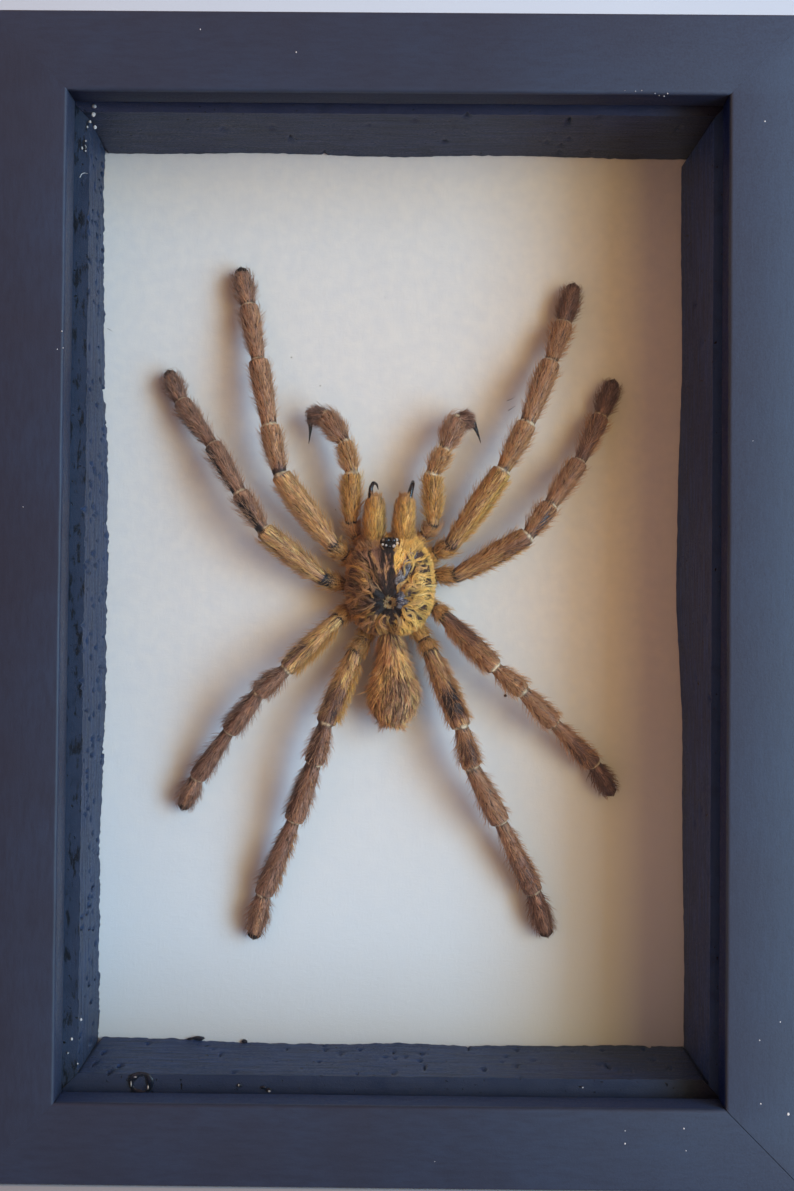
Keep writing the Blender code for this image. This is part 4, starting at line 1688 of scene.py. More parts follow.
    def combed(self, coat: Coat, tube: Tube) -> None:
        """Adds the fur that lies along the limb in fine locks, segment by segment.

        Args:
            coat: Where the hairs go.
            tube: The limb's skin.
        """
        ends, rng = self.ends(), coat.rng
        for number in range(len(self.radii)):
            pelt, end = self.pelts[Part(number)], ends[number + 1]
            distance, turn = self.roots(rng, number, ends[number] + 0.16 * MM, end - 0.3 * MM)
            path, facing = self.laid(rng, tube, pelt, distance, turn, end)
            pigment, light = self.tones(rng, pelt, distance, turn)
            if number == len(self.radii) - 1:
                pigment, light = self.tuft(distance, turn, pigment, light)
            coat.blades(path, facing, self.fur_width * MM * rng.uniform(0.7, 1.2, len(turn)), pigment, light)

    def tuft(self, distance: Array, turn: Array, pigment: Array, light: Array) -> tuple[Array, Array]:
        """Darkens the tip to the black claw tuft and lights a line along the top of the tarsus.

        Args:
            distance: (hairs,) place of the roots along the limb.
            turn: (hairs,) place of the roots round it.
            pigment: (hairs,) colour before.
            light: (hairs, points) brightness before.

        Returns:
            The new pigment and light.
        """
        end = self.ends()[-1]
        black = smooth_step(distance, end - 1.15 * MM, end - 0.55 * MM) * self.sooty
        ridge = mound(turned(turn, 95), 16) * (1 - black)
        return (pigment * (1 - black) + 0.03 * black + 0.1 * ridge,
                light * (1 - 0.75 * black)[:, None] * (1 + 0.25 * ridge)[:, None])

    def claws(self, coat: Coat, tube: Tube) -> None:
        """Adds a short dense brush of black hairs over the limb's blunt end.

        Args:
            coat: Where the hairs go.
            tube: The limb's skin.
        """
        rng, count, steps = coat.rng, self.claw_hairs, steps_of(3)
        distance = self.ends()[-1] + rng.uniform(-0.6, 0.15, count) * MM
        turn = rng.uniform(0, FULL_TURN, count)[:, None]
        path_distance = distance[:, None] + rng.uniform(0.35, 0.75, count)[:, None] * MM * steps
        held = np.minimum(path_distance, tube.along[-1])
        path = tube.point(held, turn, 0.05 * MM + 0.12 * MM * steps)
        path = path + (path_distance - held)[..., None] * unit(tube.centre[-1] - tube.centre[-4])
        light = rng.uniform(0.15, 0.5, count)[:, None]
        pigment = rng.uniform(0.0, 0.16, count) + 0.22 * (1 - self.sooty)
        coat.blades(path, tube.outward(held, turn), 0.11 * MM, pigment, light)

    def plain_fringes(self) -> list[Fringe]:
        """The hairs that stand out from every segment."""
        outer = [
            Fringe(part, turn, 50.0, 145 if part is Part.FEMUR else 95, 1.8, self.pelts[part].pigment + 0.03)
            for part in list(Part)[2:len(self.radii)] for turn in (0.0, 180.0, 90.0)
        ]
        inner = (Part.COXA, Part.TROCHANTER)
        return outer + [Fringe(part, 90.0, 125.0, 170, 1.6, self.pelts[part].pigment) for part in inner]

    def standing(self, coat: Coat, tube: Tube) -> None:
        """Adds single hairs that stand out from the sides, and the thick fringes.

        Args:
            coat: Where the hairs go.
            tube: The limb's skin.
        """
        ends, rng, steps = self.ends(), coat.rng, steps_of(4)
        for fringe in (*self.plain_fringes(), *self.fringes):
            count, number = fringe.count, fringe.part.value
            inset = 0.1 * (ends[number + 1] - ends[number])
            distance = rng.uniform(ends[number] + inset, ends[number + 1] - inset, count)
            turn = np.radians(fringe.turn + rng.uniform(-fringe.spread, fringe.spread, count))
            length = fringe.length * MM * rng.uniform(0.5, 1.25, count)[:, None]
            lean = rng.uniform(0.5, 1.1, count)[:, None]
            path_distance = np.minimum(distance[:, None] + length * lean * steps, tube.along[-1])
            lift = 0.05 * MM + length * (1 - 0.55 * lean) * steps ** 0.85
            sway = rng.normal(0.0, 0.16 if number > 1 else 0.5, count)[:, None] * steps ** 1.5
            path = tube.point(path_distance, turn[:, None] + sway, lift)
            pigment = fringe.pigment + rng.normal(0.0, 0.06, count)
            light = rng.uniform(0.38, 0.88, count)[:, None] + 0.05 * steps
            coat.bristles(path, self.bristle_width * MM, pigment, light)

    def finish_coat(self, coat: Coat, tube: Tube) -> None:
        """What this kind of limb adds to its coat."""
        self.claws(coat, tube)

    def build(self) -> None:
        """The limb's skin and its coat."""
        tube = self.tube()
        bm = tube.skin(26, self.seed)
        paint_skin(bm, self.tint(tube))
        solid(bm, f"{self.name}_skin", LEG_SKIN, [self.name], crease=80)
        coat = Coat(self.seed)
        for lay in (self.combed, self.standing, self.finish_coat):
            lay(coat, tube)
        coat.piece(f"{self.name}_fur", self.hair, self.hair_slot)


LEG_HEIGHTS = (3.0, 3.5, 4.8, 7.2, 6.9, 5.2, 2.9, 1.9)
LEG_RADII = (
    (1.15, 1.25, 1.25),
    (1.2, 1.35, 1.25),
    (1.45, 1.75, 1.68),
    (1.28, 1.6, 1.66),
    (1.36, 1.66, 1.7),
    (1.2, 1.5, 1.66),
    (1.36, 1.66, 1.25),
)


@dataclass(frozen=True)
class LegPlan:
    """One leg as it lies: where it starts, its segments' lengths and headings, and its colours."""

    name: str
    root: tuple[float, float]
    start: tuple[float, float]
    segments: tuple[tuple[float, float], ...]
    thickness: float
    femur: float
    shin: float
    tip: float
    light: float = 1.0
    root_light: float = 1.0
    pale: float = 0.0
    streaks: float = 0.85
    patches: tuple[Patch, ...] = ()
    fringes: tuple[Fringe, ...] = ()


LEG_PLANS = (
    LegPlan(
        "leg_1_left", (-4.6, 4.3), (-7.2, 5.5),
        ((2.7, 142), (14.0, 127), (7.9, 103), (11.0, 101), (9.6, 102), (6.2, 103)),
        1.0, 0.61, 0.49, 0.4, 1.1, 0.95, 0.15, 0.6,
        (Patch(Part.TROCHANTER, 0.6, 1.02, 80, 70, 0.1, 0.9, BLACK),
         Patch(Part.PATELLA, -0.05, 0.07, 90, 80, 0.05, 0.9, BLACK)),
        (Fringe(Part.FEMUR, 185, 32, 420, 1.5, 0.6), Fringe(Part.METATARSUS, 180, 30, 60, 1.1, 0.55)),
    ),
    LegPlan(
        "leg_2_left", (-4.9, 1.4), (-7.2, 0.8),
        ((3.8, 165), (12.2, 141), (6.9, 123), (9.2, 121), (9.3, 127), (5.3, 115)),
        0.93, 0.6, 0.42, 0.36, 0.97, 0.6, 0.25, 0.7,
        (Patch(Part.TROCHANTER, 0.42, 1.02, 80, 85, 0.06, 0.95, BLACK),
         Patch(Part.PATELLA, -0.05, 0.8, 142, 60, 0.05, 1.0, BLACK),
         Patch(Part.TIBIA, -0.02, 0.98, 162, 42, 0.08, 1.0, BLACK),
         Patch(Part.TIBIA, 0.62, 0.97, 135, 34, 0.2, 0.7, BLACK)),
        (Fringe(Part.FEMUR, 185, 34, 260, 1.6, 0.66), Fringe(Part.METATARSUS, 182, 24, 110, 0.9, 0.15)),
    ),
    LegPlan(
        "leg_3_left", (-4.6, -1.6), (-6.3, -2.9),
        ((2.8, 222), (11.6, 225), (5.8, 222), (7.9, 232), (9.6, 235), (5.4, 244)),
        0.9, 0.62, 0.39, 0.38, 1.0, 0.75, 0.3, 0.85,
        (Patch(Part.FEMUR, 0.5, 1.0, 20, 62, 0.26, 0.2),
         Patch(Part.METATARSUS, 0.0, 0.85, 5, 50, 0.26),
         Patch(Part.TIBIA, 0.0, 0.9, 10, 55, 0.22), Patch(Part.PATELLA, 0.0, 0.9, 20, 55, 0.26)),
        (Fringe(Part.FEMUR, 180, 45, 260, 1.9, 0.74), Fringe(Part.PATELLA, 0, 40, 60, 1.2, 0.2),
         Fringe(Part.TIBIA, 10, 40, 90, 1.2, 0.22)),
    ),
    LegPlan(
        "leg_4_left", (-3.2, -4.6), (-3.9, -7.9),
        ((2.9, 234), (12.1, 248), (6.5, 254), (9.9, 251), (13.3, 248), (7.1, 257)),
        1.0, 0.6, 0.42, 0.4, 0.97, 0.55, 0.3, 0.85,
        (Patch(Part.FEMUR, 0.45, 1.0, 60, 80, 0.3, 0.1),
         Patch(Part.TIBIA, 0.0, 0.9, 10, 55, 0.24), Patch(Part.PATELLA, 0.0, 1.0, 30, 70, 0.22),
         Patch(Part.METATARSUS, 0.0, 0.9, 5, 45, 0.3)),
        (Fringe(Part.FEMUR, 175, 45, 260, 1.7, 0.78), Fringe(Part.TIBIA, 0, 50, 130, 1.3, 0.24),
         Fringe(Part.METATARSUS, 180, 45, 160, 1.5, 0.6), Fringe(Part.METATARSUS, 0, 40, 100, 1.2, 0.3)),
    ),
    LegPlan(
        "leg_1_right", (4.6, 4.3), (7.2, 6.0),
        ((3.0, 26), (14.4, 56), (8.3, 63), (10.9, 69), (7.4, 71), (6.5, 75)),
        1.0, 0.62, 0.53, 0.3, 0.92, 1.15, 0.15, 0.55,
        (Patch(Part.TROCHANTER, 0.6, 1.02, 110, 60, 0.1, 0.85, BLACK),
         Patch(Part.FEMUR, 0.1, 1.0, 10, 42, 0.9)),
        (Fringe(Part.FEMUR, 0, 36, 300, 1.3, 0.78), Fringe(Part.TIBIA, 180, 30, 50, 1.1, 0.55)),
    ),
    LegPlan(
        "leg_2_right", (4.9, 1.4), (7.3, 2.6),
        ((3.4, -5), (13.1, 30), (6.0, 54), (8.6, 56), (8.7, 64), (6.1, 69)),
        0.93, 0.58, 0.5, 0.28, 0.82, 0.88, 0.1, 0.5,
        # The slate patch on the patella is bare skin whose grey-blue stands in for its glossy highlight:
        # painted sheen.
        (Patch(Part.PATELLA, 0.1, 0.75, 40, 34, 0.3, 0.95, BARE_SHEEN_SLATE),
         Patch(Part.FEMUR, 0.6, 1.0, 40, 60, 0.42), Patch(Part.METATARSUS, -0.1, 1.05, 90, 150, 0.34),
         Patch(Part.TROCHANTER, 0.7, 1.02, 110, 60, 0.12, 0.8, BLACK)),
        (Fringe(Part.FEMUR, 350, 40, 240, 1.2, 0.7), Fringe(Part.TIBIA, 180, 30, 80, 1.0, 0.64)),
    ),
    LegPlan(
        "leg_3_right", (4.6, -1.6), (7.2, -2.8),
        ((2.4, -41), (11.5, -45), (5.7, -40), (7.4, -45), (9.7, -45), (5.5, -57)),
        0.9, 0.52, 0.5, 0.27, 0.85, 1.1, 0.05, 0.5,
        (Patch(Part.FEMUR, 0.0, 0.5, 150, 60, 0.28), Patch(Part.METATARSUS, 0.35, 1.05, 90, 150, 0.28)),
        (Fringe(Part.FEMUR, 10, 40, 260, 1.6, 0.55), Fringe(Part.TIBIA, 170, 40, 90, 1.1, 0.5),
         Fringe(Part.METATARSUS, 180, 40, 90, 1.1, 0.5)),
    ),
    LegPlan(
        "leg_4_right", (3.2, -4.6), (5.6, -7.9),
        ((2.4, -64), (12.9, -67), (6.5, -75), (10.1, -62), (12.8, -64), (7.3, -72)),
        1.0, 0.54, 0.48, 0.32, 0.92, 0.95, 0.1, 0.6,
        (Patch(Part.FEMUR, 0.46, 0.84, 95, 55, 0.12, 0.6, (0.035, 0.038, 0.05, 1.0)),
         Patch(Part.PATELLA, 0.2, 0.8, 90, 50, 0.26), Patch(Part.METATARSUS, 0.45, 1.05, 90, 150, 0.36)),
        (Fringe(Part.FEMUR, 180, 40, 260, 1.4, 0.6), Fringe(Part.METATARSUS, 180, 40, 120, 1.2, 0.5)),
    ),
)


@dataclass
class WalkingLegs:
    """The eight legs."""

    layout: Layout
    plans: tuple[LegPlan, ...] = LEG_PLANS

    @staticmethod
    def pelts(plan: LegPlan) -> dict[Part, Pelt]:
        """Says how a leg's segments are haired.

        Args:
            plan: The leg's plan.

        Returns:
            The pelt of each segment.
        """
        return {
            Part.COXA: Pelt(0.72, 0.3, 1.7, 0.6, light=plan.root_light),
            Part.TROCHANTER: Pelt(0.68, 0.3, 1.4, 0.45, light=plan.root_light),
            Part.FEMUR: Pelt(plan.femur, 0.42 * plan.streaks, 1.7, 0.26, light=plan.light, pale=plan.pale),
            Part.PATELLA: Pelt(plan.shin + 0.03, 0.34 * plan.streaks, light=plan.light),
            Part.TIBIA: Pelt(plan.shin, 0.3 * plan.streaks, 1.35, 0.22, light=plan.light),
            Part.METATARSUS: Pelt(plan.shin - 0.02, 0.28 * plan.streaks, 1.2, 0.22, light=plan.light),
            Part.TARSUS: Pelt(plan.tip, 0.22 * plan.streaks, 1.0, 0.24, light=plan.light),
        }

    def build(self) -> None:
        """All eight legs."""
        for number, plan in enumerate(self.plans):
            Limb(
                self.layout, plan.name, plan.root, plan.start, plan.segments, LEG_HEIGHTS, LEG_RADII,
                self.pelts(plan), plan.patches, plan.fringes, plan.thickness, seed=100 + 10 * number,
                sooty=1.0 if plan.name.endswith("left") else 0.25,
            ).build()


# ---------------------------------------------------------------- mouth parts

PALP_HEIGHTS = (3.0, 3.6, 4.6, 6.0, 5.8, 4.8, 4.0)
PALP_RADII = (
    (0.95, 1.05, 1.05),
    (1.0, 1.1, 1.05),
    (1.15, 1.5, 1.4),
    (1.2, 1.35, 1.3),
    (1.2, 1.55, 1.35),
    (1.15, 1.3, 0.95),
)


@dataclass
class Pedipalp(Limb):
    """A feeler with its bulb and the black spike that hangs from its end."""

    spike: tuple[float, float] = (4.3, 268.0)
    soft_hairs: int = 260

    def finish_coat(self, coat: Coat, tube: Tube) -> None:
        """Adds long soft hairs over the last segment.

        Args:
            coat: Where the hairs go.
            tube: The limb's skin.
        """
        rng, count, steps = coat.rng, self.soft_hairs, steps_of(4)
        distance = rng.uniform(*self.ends()[-2:], count)[:, None]
        turn = rng.uniform(0, FULL_TURN, count)[:, None]
        length = rng.uniform(0.5, 1.1, count)[:, None] * MM
        held = np.minimum(distance + 0.6 * length * steps, tube.along[-1])
        path = tube.point(held, turn, 0.03 * MM + 0.7 * length * steps)
        light = rng.uniform(0.4, 0.85, count)[:, None]
        coat.bristles(path, 0.06 * MM, rng.normal(0.32, 0.08, count), light)

    def horn(self) -> Object:
        """The spike: a swollen base that runs out to a thin bent point."""
        length, heading = self.spike
        turn = math.radians(heading)
        run = np.array([math.cos(turn), 0.12, math.sin(turn)])
        beside = np.array([-math.sin(turn), 0.0, math.cos(turn)])
        base = np.array(self.joints()[-1]) - run * 0.35 * MM
        share = np.linspace(0.0, 1.0, 24)
        bow = 0.18 * np.sin(share * math.pi) * math.copysign(1.0, math.cos(turn) + 0.2)
        line = base + (share[:, None] * length * run + bow[:, None] * beside) * MM
        radius = np.interp(share, [0.0, 0.08, 0.22, 0.4, 0.7, 1.0], [0.2, 0.5, 0.58, 0.34, 0.16, 0.04]) * MM
        skin = shell(ring_rows(line, radius, 14))
        return solid(skin, f"{self.name}_spike", HORN, crease=80)

    def build(self) -> None:
        """The limb and its spike."""
        super().build()
        self.horn()


def ring_rows(line: Array, radius: Array, sides: int) -> Array:
    """Rings square to a line, as rows of points for a skin.

    Args:
        line: (rows, 3) middle line.
        radius: (rows,) radius of each ring.
        sides: Points round a ring.

    Returns:
        (rows, sides + 1, 3) points.
    """
    ahead = unit(np.gradient(line, axis=0))
    across = unit(np.cross(ahead, np.array([0.013, -1.0, 0.021])))
    up = np.cross(across, ahead)
    turn = np.linspace(0.0, FULL_TURN, sides + 1)
    turn[-1] = 0.0
    ring = across[:, None] * np.cos(turn)[None, :, None] + up[:, None] * np.sin(turn)[None, :, None]
    return line[:, None] + ring * radius[:, None, None]


def curved(anchors: Array, points: int, rounds: int) -> Array:
    """A line through anchors at even shares, its corners smoothed by this many rounds."""
    share, knots = np.linspace(0.0, 1.0, points), np.linspace(0.0, 1.0, len(anchors))
    return even_out(on_line(share, knots, anchors), rounds)


@dataclass
class MouthParts:
    """Both pedipalps and both chelicerae with their fangs."""

    layout: Layout
    jaw_radius: float = 1.7
    jaw_height: float = 6.9
    jaw_hairs: int = 4300
    whiskers: int = 460
    left_fang: tuple[Triple, ...] = (
        (-3.1, 14.3, 0.0), (-3.15, 15.9, 0.1), (-2.75, 16.9, -0.3), (-2.2, 16.7, -1.3), (-2.0, 16.0, -2.3),
    )
    right_fang: tuple[Triple, ...] = (
        (2.9, 14.2, 0.0), (3.15, 15.6, 0.0), (3.45, 16.7, -0.4), (3.5, 17.2, -1.4), (3.4, 17.1, -2.6),
    )
    palp_pelts: dict[Part, Pelt] = field(default_factory=lambda: {
        Part.COXA: Pelt(0.66, 0.2, 1.4, 0.4),
        Part.TROCHANTER: Pelt(0.6, 0.2, 1.2, 0.3),
        Part.FEMUR: Pelt(0.69, 0.3, 1.5, 0.22),
        Part.PATELLA: Pelt(0.6, 0.3, 1.2, 0.22),
        Part.TIBIA: Pelt(0.46, 0.26, 1.3, 0.3),
        Part.METATARSUS: Pelt(0.3, 0.2, 0.9, 0.3),
    })

    def palps(self) -> None:
        """Both pedipalps."""
        shared = {"heights": PALP_HEIGHTS, "radii": PALP_RADII, "pelts": self.palp_pelts, "hairs_per_mm": 150,
                  "fur_depth": 0.12, "hair_slot": Slot.BODY_HAIR, "hair": BODY_HAIR}
        Pedipalp(
            self.layout, "pedipalp_left", (-3.0, 6.7), (-5.6, 8.6),
            ((2.5, 108), (7.8, 89), (5.0, 104), (5.5, 125), (2.7, 183)),
            fringes=(Fringe(Part.FEMUR, 180, 40, 90, 1.4, 0.66), Fringe(Part.TIBIA, 180, 60, 120, 1.5, 0.5),
                     Fringe(Part.TIBIA, 20, 50, 120, 1.4, 0.5), Fringe(Part.PATELLA, 0, 60, 70, 1.0, 0.6)),
            seed=300, spike=(4.6, 268.0), **shared,
        ).build()
        Pedipalp(
            self.layout, "pedipalp_right", (3.0, 6.7), (5.4, 8.9),
            ((2.3, 50), (8.0, 92), (4.4, 62), (5.5, 69), (2.4, -6)),
            fringes=(Fringe(Part.FEMUR, 0, 40, 60, 1.3, 0.66), Fringe(Part.TIBIA, 180, 60, 120, 1.5, 0.5),
                     Fringe(Part.TIBIA, 0, 50, 100, 1.2, 0.5)),
            seed=320, spike=(4.1, 295.0), **shared,
        ).build()

    def jaw(self, name: str, x: float, seed: int) -> None:
        """Builds one chelicera: a stout furred cylinder combed forwards.

        Args:
            name: The name of its node.
            x: Where it stands in mm; the left one's is below 0.
            seed: The seed of its hair.
        """
        layout = self.layout
        base = layout.at(x, 7.5, self.jaw_height - 1.3)
        tip = layout.at(x + (0.05 if x < 0 else 0.4), 15.1, self.jaw_height - 0.7)
        length, ahead = (tip - base).length, np.array((tip - base).normalized())
        knots = np.array([0.0, 0.08, 0.22, 0.5, 0.8, 0.93, 1.0, 1.03]) * length
        radii = np.array([0.62, 0.84, 1.0, 0.98, 0.86, 0.7, 0.4, 0.06]) * (self.jaw_radius - 0.14) * MM
        tube = Tube.through([base, layout.at(x, 10.2, self.jaw_height - 0.1), tip], knots, radii, flat=1.05)
        bm = tube.skin(30, seed)
        paint_skin(bm, seen(96, 60, 32))
        solid(bm, f"{name}_skin", BODY_SKIN, [name], crease=80)
        coat = Coat(seed)
        self.jaw_fur(coat, tube, length, ahead, x < 0, Ripple(seed + 3, 32))
        self.stray(coat, tube, length, ahead)
        coat.piece(f"{name}_fur", BODY_HAIR, Slot.BODY_HAIR)

    def jaw_fur(self, coat: Coat, tube: Tube, length: float, ahead: Array, left: bool,
                streak: Ripple) -> None:
        """Fur combed forwards, with dark streaks, and a darker inner side that is painted shade in the furrow
        between the jaws.

        Args:
            coat: Where the hairs go.
            tube: The jaw's skin.
            length: The jaw's length.
            ahead: The way that it points.
            left: Whether it is the left one.
            streak: The noise that sorts the streaks.
        """
        rng, count, steps = coat.rng, self.jaw_hairs, steps_of(4)
        distance, turn = rng.uniform(0.0, length * 0.97, count), rng.uniform(0, FULL_TURN, count)
        path_distance = distance[:, None] + (MM * rng.uniform(0.6, 1.3, count))[:, None] * steps
        held = np.minimum(path_distance, length)
        path_turn = turn[:, None] + rng.normal(0.0, 0.14, count)[:, None] * steps
        lift = 0.02 * MM + 0.4 * MM * rng.uniform(0.2, 1.3, count)[:, None] * steps ** 1.3
        path = tube.point(held, path_turn, lift) + ((path_distance - held) * 0.55)[..., None] * ahead
        pigment = 0.76 - 0.12 * smooth_step(distance / length, 0.5, 1.0) + rng.normal(0, 0.05, count)
        column, inner = turn / FULL_TURN * 32, np.cos(turn) * (1.0 if left else -1.0)
        lines = streak(column, distance / MM / 3.0)
        # Painted shade: the inner side, in the furrow between the jaws, is darkened, over more of the left
        # jaw.
        dark = smooth_step(lines, 0.6, 0.8) * 0.6 + 0.65 * smooth_step(inner, 0.75, 0.98)
        dark = dark + (0.5 * smooth_step(inner, 0.2, 0.8) if left else 0.0)
        grain = streak(2 * column, distance / MM / 0.6) - 0.5
        light = np.clip(0.9 - 0.6 * dark + 0.6 * grain + rng.normal(0, 0.17, count), 0.08, 1.1)[:, None]
        rooted = 0.3 * np.exp(-distance / (0.5 * MM))[:, None]
        light = light * (0.32 + rooted + (0.8 - rooted) * steps)
        coat.blades(path, tube.outward(held, path_turn), 0.085 * MM, pigment, light)

    def stray(self, coat: Coat, tube: Tube, length: float, ahead: Array) -> None:
        """Adds whiskers that reach past the jaw's end, and hairs that stand off its sides.

        Args:
            coat: Where the hairs go.
            tube: The jaw's skin.
            length: The jaw's length.
            ahead: The way that it points.
        """
        rng, count, steps = coat.rng, self.whiskers, steps_of(4)
        turn, start = rng.uniform(0, FULL_TURN, count)[:, None], np.full((count, 1), length * 0.9)
        path = tube.point(start, turn, -0.25 * MM)
        path = path + steps[..., None] * (rng.uniform(0.6, 1.5, count)[:, None, None] * MM * ahead)
        path = path + steps[..., None] ** 1.5 * tube.outward(start, turn) * 0.3 * MM
        light = rng.uniform(0.45, 0.9, count)[:, None]
        coat.bristles(path, 0.06 * MM, rng.normal(0.6, 0.08, count), light)
        distance, turn = (rng.uniform(0.0, high, count)[:, None] for high in (0.9, FULL_TURN))
        far = rng.uniform(0.7, 1.3, count)[:, None] * MM * steps
        path = tube.point(distance * length + far, turn, 0.05 * MM + 0.55 * far)
        light = rng.uniform(0.35, 1.0, count)[:, None] * (0.6 + 0.4 * steps)
        coat.bristles(path, 0.085 * MM, rng.normal(0.68, 0.08, count), light)

    def fang(self, name: str, places: Sequence[Triple], radii: Sequence[float]) -> None:
        """A curved glossy fang.

        Args:
            name: The piece's name.
            places: Points in mm that its line passes, root first; heights are from the jaws'.
            radii: Radius in mm at each point.
        """
        anchors = np.array([tuple(self.layout.at(x, z, self.jaw_height + up)) for x, z, up in places])
        line = curved(anchors, 28, 3)
        radius = np.interp(np.linspace(0.0, 1.0, 28), np.linspace(0.0, 1.0, len(places)), radii) * MM
        solid(shell(ring_rows(line, radius, 14)), name, HORN, crease=80)

    def build(self) -> None:
        """Palps, jaws and fangs."""
        self.palps()
        self.jaw("chelicera_left", -2.5, 340)
        self.jaw("chelicera_right", 2.05, 350)
        self.fang("fang_left", self.left_fang, (0.4, 0.35, 0.29, 0.2, 0.06))
        self.fang("fang_right", self.right_fang, (0.45, 0.42, 0.36, 0.28, 0.07))


# ---------------------------------------------------------------- body


@dataclass(frozen=True)
class Band:
    """A band of colour on the carapace that runs between two places in mm, with its half widths."""

    start: tuple[float, float]
    end: tuple[float, float]
    start_half: float
    end_half: float

    def half(self, along: Array) -> Array:
        """The band's half width at shares of its length."""
        return self.start_half + (self.end_half - self.start_half) * along

    def share(self, x: Array, z: Array, soft: float) -> Array:
        """Works out how far inside the band places are.

        Args:
            x: Places across in mm.
            z: Places up in mm.
            soft: How wide the border is in mm.

        Returns:
            1 well inside, 0 outside.
        """
        (x0, z0), (x1, z1) = self.start, self.end
        run = np.array([x1 - x0, z1 - z0])
        along = ((x - x0) * run[0] + (z - z0) * run[1]) / (run @ run)
        gap = np.abs((x - x0) * run[1] - (z - z0) * run[0]) / math.hypot(*run)
        inside = 1 - smooth_step(gap - self.half(np.clip(along, 0, 1)), -soft, soft)
        return inside * smooth_step(along, -0.06, 0.04) * (1 - smooth_step(along, 0.96, 1.06))

    def place(self, along: Array, beside: Array) -> tuple[Array, Array]:
        """Finds places in the band.

        Args:
            along: Shares of its length.
            beside: Shares of its half width.

        Returns:
            The places' x and z in mm.
        """
        (x0, z0), (x1, z1) = self.start, self.end
        far = math.hypot(x1 - x0, z1 - z0)
        return (x0 + (x1 - x0) * along + beside * self.half(along) * (z1 - z0) / far,
                z0 + (z1 - z0) * along - beside * self.half(along) * (x1 - x0) / far)


@dataclass(frozen=True)
class LockRow:
    """A ring of locks round the fovea.

    Side is 1 on the right and -1 on the left.  The angles run from straight ahead, and the row's middle,
    which the offsets near and far go from, is low mm out from the fovea.
    """

    side: int
    first: float
    last: float
    low: float
    near: float
    far: float
    pitch: float
    hairs: int
    length: float

    @classmethod
    def all(cls) -> list["LockRow"]:
        """The rows of both sides, two bases with three rings of locks each."""
        bases = ((1, 40, 178, 2.7), (1, 29, 44, 4.8), (-1, 32, 178, 2.5), (-1, 26, 44, 4.6))
        rings = ((-0.9, 0.9, 6.0, 13, 4.2), (0.9, 2.2, 5.0, 11, 3.2), (2.2, 3.6, 3.4, 10, 2.3))
        return [cls(*base, *ring) for base in bases for ring in rings]


